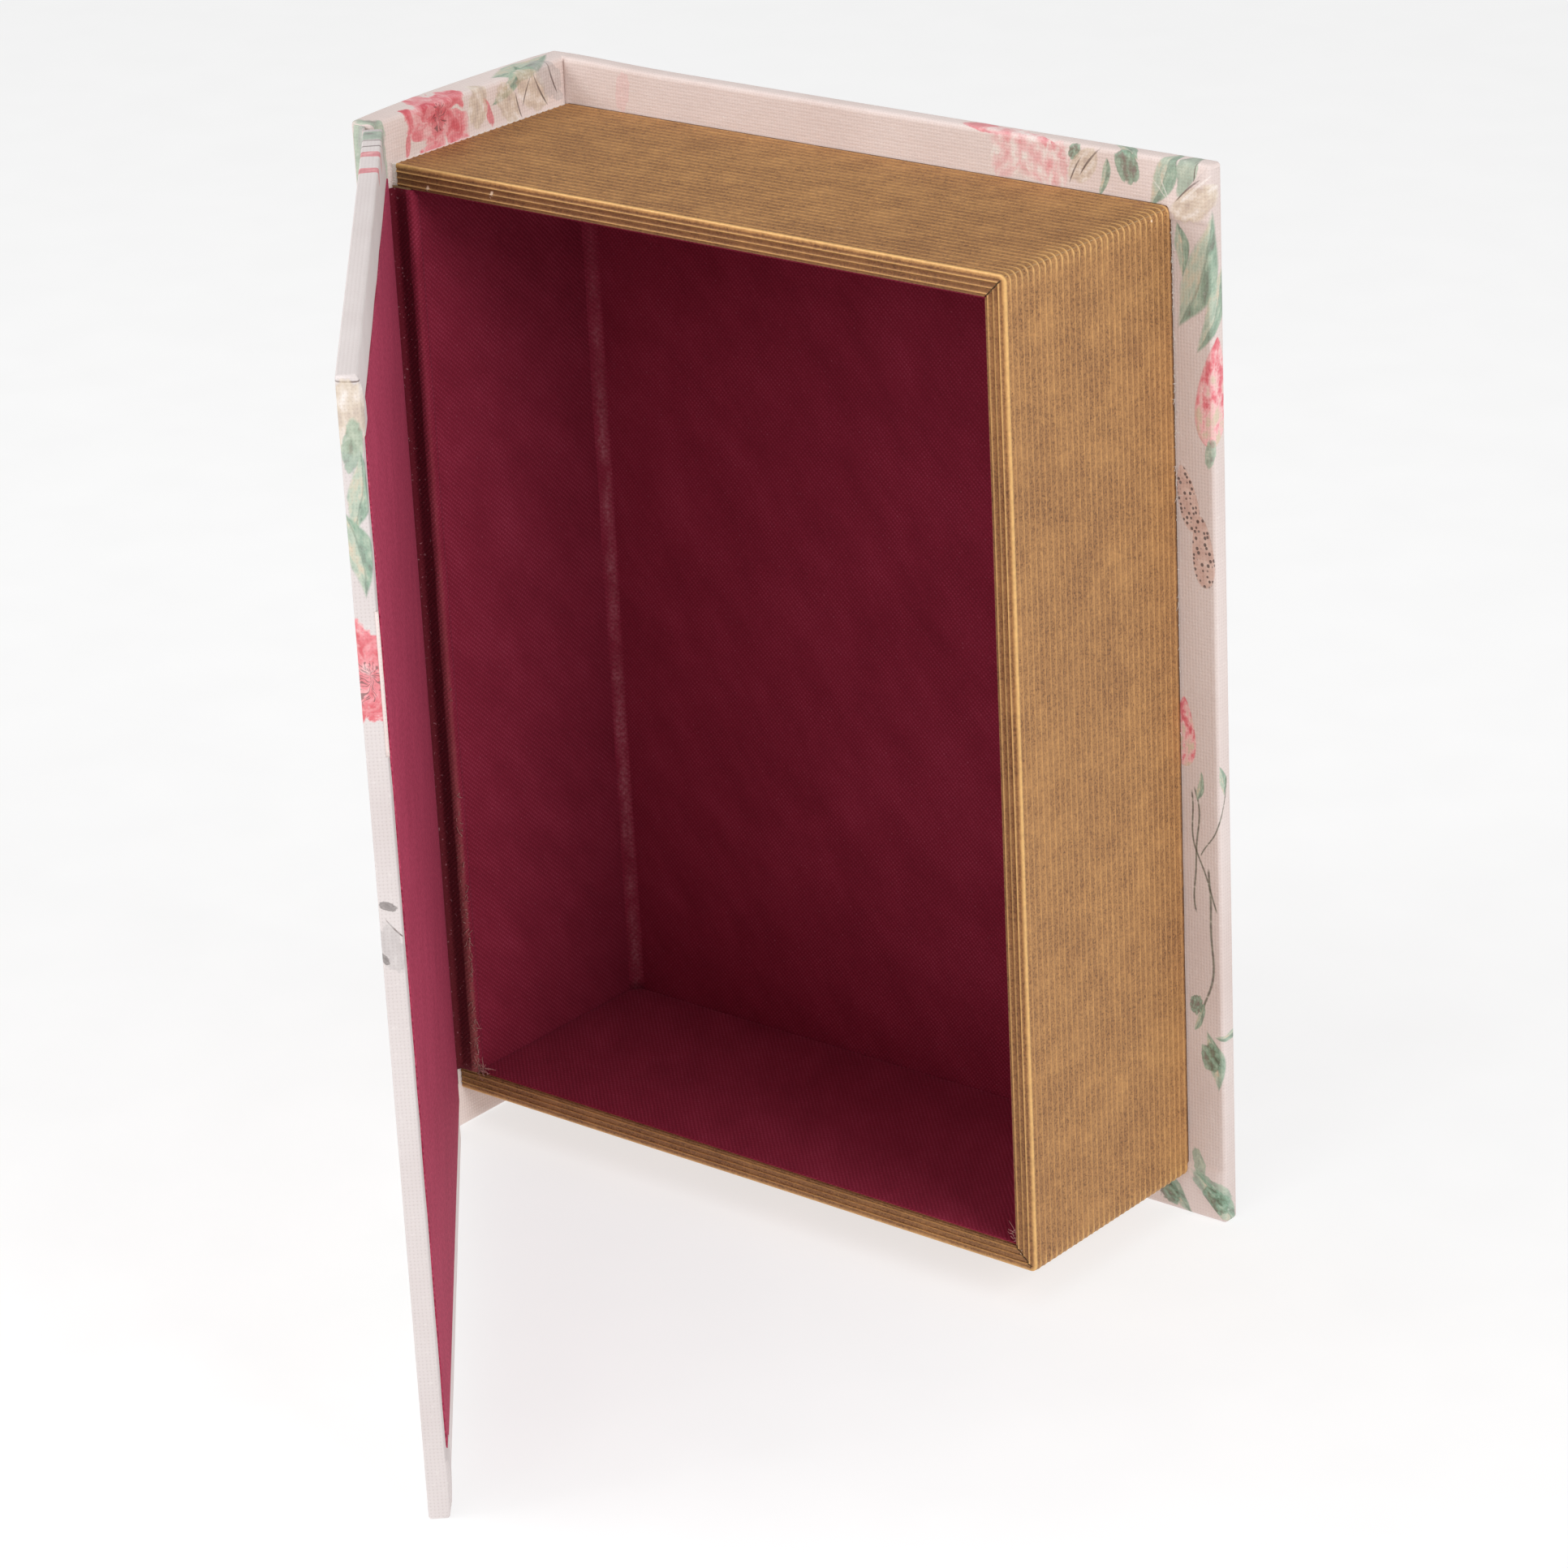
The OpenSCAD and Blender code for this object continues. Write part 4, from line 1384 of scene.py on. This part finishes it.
# (motif, across, up, size, turn, seed) in millimetres and degrees. On the back cover across runs
# from the hinge edge to the fore-edge
BACK_PRINT = [
    ("stain", 13.0, 205.5, 4.2, 82, 0.3),
    ("dash", 100.5, 211.0, 6.0, -5, 0.1),
    ("dash", 115.5, 208.6, 4.6, -20, 0.6),
    ("veil", 109.0, 207.5, 8.5, -28, 0.2),
    ("veil", 106.0, 206.0, 6.0, 60, 0.7),
    ("veil", 113.0, 206.5, 6.5, -62, 0.8),
    ("veil", 117.0, 205.5, 5.2, 84, 0.5),
    ("blot", 120.8, 208.6, 1.8, 60, 0.1),
    ("husk", 122.8, 206.2, 4.6, 48, 0.4),
    ("ink", 120.9, 205.2, 3.4, 62, 0.2),
    ("ink", 124.2, 207.2, 4.2, 50, 0.7),
    ("leaf", 127.4, 204.6, 4.0, 75, 0.6),
    ("leaf", 131.0, 211.5, 5.0, 150, 0.35),
    ("blot", 132.4, 207.6, 3.6, 110, 0.65),
    ("leaf", 140.5, 207.0, 8.0, 68, 0.9),
    ("smear", 145.5, 208.5, 6.0, 80, 0.55),
    ("ink", 147.4, 208.4, 2.6, 82, 0.5),
    ("crease", 140.6, 204.6, 2.6, -64, 0.5),
    ("crease", 139.6, 204.2, 2.4, -45, 0.2),
    ("husk", 147.4, 202.6, 5.8, 30, 0.45),
    # Painted shadow and painted highlight: a thin brown line and a white line along the raised edge of the
    # folded corner
    ("ink", 146.0, 205.0, 4.2, 41, 0.35),
    ("crease", 147.4, 205.2, 4.6, 41, 0.8),
    ("leaf", 147.8, 190.0, 12.5, 71, 0.25),
    ("leaf", 144.0, 193.5, 5.5, 95, 0.05),
    ("leaf", 150.8, 182.5, 9.0, 68, 0.7),
    ("bud", 150.6, 167.5, 10.5, 84, 0.45),
    ("smear", 149.6, 156.0, 3.0, 80, 0.35),
    ("wing", 144.4, 146.5, 6.6, 102, 0.3),
    ("wing", 147.6, 136.7, 7.2, 95, 0.8),
    ("bud", 142.8, 100.5, 7.0, 90, 0.8),
    ("stem", 146.1, 76.8, 12.5, 102, 0.2),
    ("stem", 145.0, 77.0, 13.0, 93, 0.55),
    ("leaf", 146.1, 90.1, 3.2, 80, 0.4),
    ("leaf", 151.2, 91.8, 3.4, 100, 0.9),
    ("stem", 149.8, 84.0, 9.0, 70, 0.75),
    ("stem", 147.5, 58.0, 16.0, 84, 0.9),
    ("leaf", 145.2, 42.5, 3.4, 70, 0.5),
    ("blot", 144.4, 45.0, 2.2, 80, 0.3),
    ("leaf", 148.4, 34.0, 6.6, 102, 0.15),
    ("blot", 147.6, 34.6, 3.2, 100, 0.75),
    ("leaf", 152.4, 39.5, 4.0, 10, 0.6),
    ("smear", 144.5, 11.5, 3.6, 110, 0.2),
    ("smear", 147.5, 7.0, 5.6, 155, 0.6),
    ("leaf", 149.0, 4.0, 8.0, 128, 0.3),
    ("blot", 148.2, 4.6, 3.4, 130, 0.15),
    ("leaf", 138.0, 4.0, 7.0, 140, 0.8),
    ("blot", 137.0, 3.6, 3.2, 140, 0.45),
]

# across runs from the back edge of the spine to its front edge
SPINE_PRINT = [
    ("leaf", 12.5, 211.6, 9.5, 174, 0.3),
    ("leaf", 18.5, 208.8, 7.0, 148, 0.6),
    ("husk", 20.0, 205.0, 5.0, 60, 0.3),
    ("husk", 13.0, 206.0, 6.0, 50, 0.8),
    ("mist", 8.0, 207.5, 6.0, 60, 0.2),
    ("ink", 7.0, 207.0, 4.2, 70, 0.1),
    ("ink", 10.6, 205.4, 4.4, 62, 0.4),
    ("ink", 14.5, 206.0, 3.4, 118, 0.7),
    ("ink", 17.0, 204.0, 3.4, 75, 0.9),
    ("dash", 25.6, 204.6, 3.4, 70, 0.5),
    ("husk", 28.4, 206.6, 5.0, 98, 0.7),
    ("peony", 39.6, 207.0, 9.5, 30, 0.37),
    ("dash", 48.4, 203.6, 2.6, 100, 0.9),
    ("smear", 57.6, 206.0, 9.0, 88, 0.25),
    ("smear", 58.0, 197.0, 9.0, 95, 0.5),
]

# across runs from the hinge edge of the lid to its fore-edge
LID_PRINT = [
    ("mist", 0.6, 211.6, 6.0, 90, 0.2),
    ("smear", 4.6, 211.6, 8.0, 90, 0.3),
    ("ink", 11.8, 211.6, 7.0, 86, 0.6),
    ("ink", 7.8, 211.6, 6.0, 93, 0.2),
    ("dash", 17.6, 212.2, 6.4, 92, 0.1),
    ("dash", 28.8, 212.4, 6.2, 86, 0.4),
    ("ink", 152.0, 209.0, 3.4, 4, 0.4),
    ("husk", 152.0, 203.0, 7.0, 84, 0.5),
    ("smear", 152.0, 198.0, 5.0, 100, 0.7),
    ("leaf", 151.5, 190.0, 7.5, 100, 0.2),
    ("leaf", 152.5, 179.5, 8.0, 80, 0.8),
    ("peony", 153.0, 158.0, 11.0, 45, 0.61),
    ("dab", 152.4, 117.2, 1.7, 20, 0.3),
    ("ink", 151.4, 113.0, 3.0, 50, 0.7),
    ("mist", 152.2, 109.5, 5.0, 70, 0.6),
    ("dab", 153.6, 107.6, 1.3, 60, 0.8),
]

# across runs over the front joint from the spine to the lid, and turn is on the sheet itself
JOINT_PRINT = [
    ("smear", 2.5, 203, 9, 88, 0.25),
    ("smear", 6.5, 196, 11, 80, 0.6),
    ("mist", 4.5, 205, 7, 95, 0.4),
    ("leaf", 5.0, 182, 9, 84, 0.3),
    ("bud", 4.0, 150, 8, 90, 0.7),
    ("leaf", 5.0, 118, 10, 100, 0.1),
    ("smear", 5.0, 70, 12, 86, 0.9),
    ("leaf", 5.0, 34, 8, 75, 0.5),
]

# ---- put it together

make_camera()
make_studio()

TRAY_REDS = (srgb(176, 68, 94), srgb(139, 37, 60), srgb(98, 17, 34))
LINING = burgundy_material("burgundy_tray", *TRAY_REDS)
# Painted light: the lid's lining is the tray's burgundy cloth in lighter reds, standing in for the stronger
# light the lid catches; its upright streaks are the cloth's own
LID_LINING_PAINTED_LIGHTER = burgundy_material(
    "burgundy_lid", srgb(197, 77, 107), srgb(168, 54, 82), srgb(129, 32, 57), streaks=0.5
)
# The fillet's cloth carries a painted highlight, with some wear, along the corner
FILLET = burgundy_material("burgundy_fillet", *TRAY_REDS, painted_light=fold_highlight_and_wear)
# The hinge cloth carries painted shade where it dips between rim and lid
GULLY_SHADE = burgundy_material("burgundy_hinge_shaded", *TRAY_REDS, painted_light=hinge_gully_shade)
GOLD = gold_material()
BOARD = board_material()

back_cover(canvas_areas("canvas_back", BACK_SHEET, BACK_PRINT))
spine_cover(canvas_areas("canvas_spine", SPINE_SHEET, SPINE_PRINT))
lid_cover(canvas_areas("canvas_lid", LID_SHEET, LID_PRINT, PALE_GROUND))
lid_turned_edge(canvas_material("canvas_plain", [], False))
lid_panel(LID_LINING_PAINTED_LIGHTER)
tray_wrap(GOLD)
tray_linings(LINING, FILLET)
joint_marks = [
    (motif, across * MM, up * MM, size * MM, math.radians(turn), seed)
    for motif, across, up, size, turn, seed in JOINT_PRINT
]
joint_cloths(canvas_material("canvas_joint", joint_marks, False), GULLY_SHADE)
bare_strip(canvas_material("canvas_raw", [], False, (WHITE, WHITE)))
frays(
    thread_material("burgundy_thread", srgb(186, 128, 122)),
    thread_material("white_thread", srgb(240, 232, 224)),
)

for node in (
    "back_board", "spine_board", "lid_board", "head_wall", "tail_wall", "fore_edge_wall", "spine_wall"
):
    for slot in frame["nodes"][node].material_slots:
        slot.material = BOARD
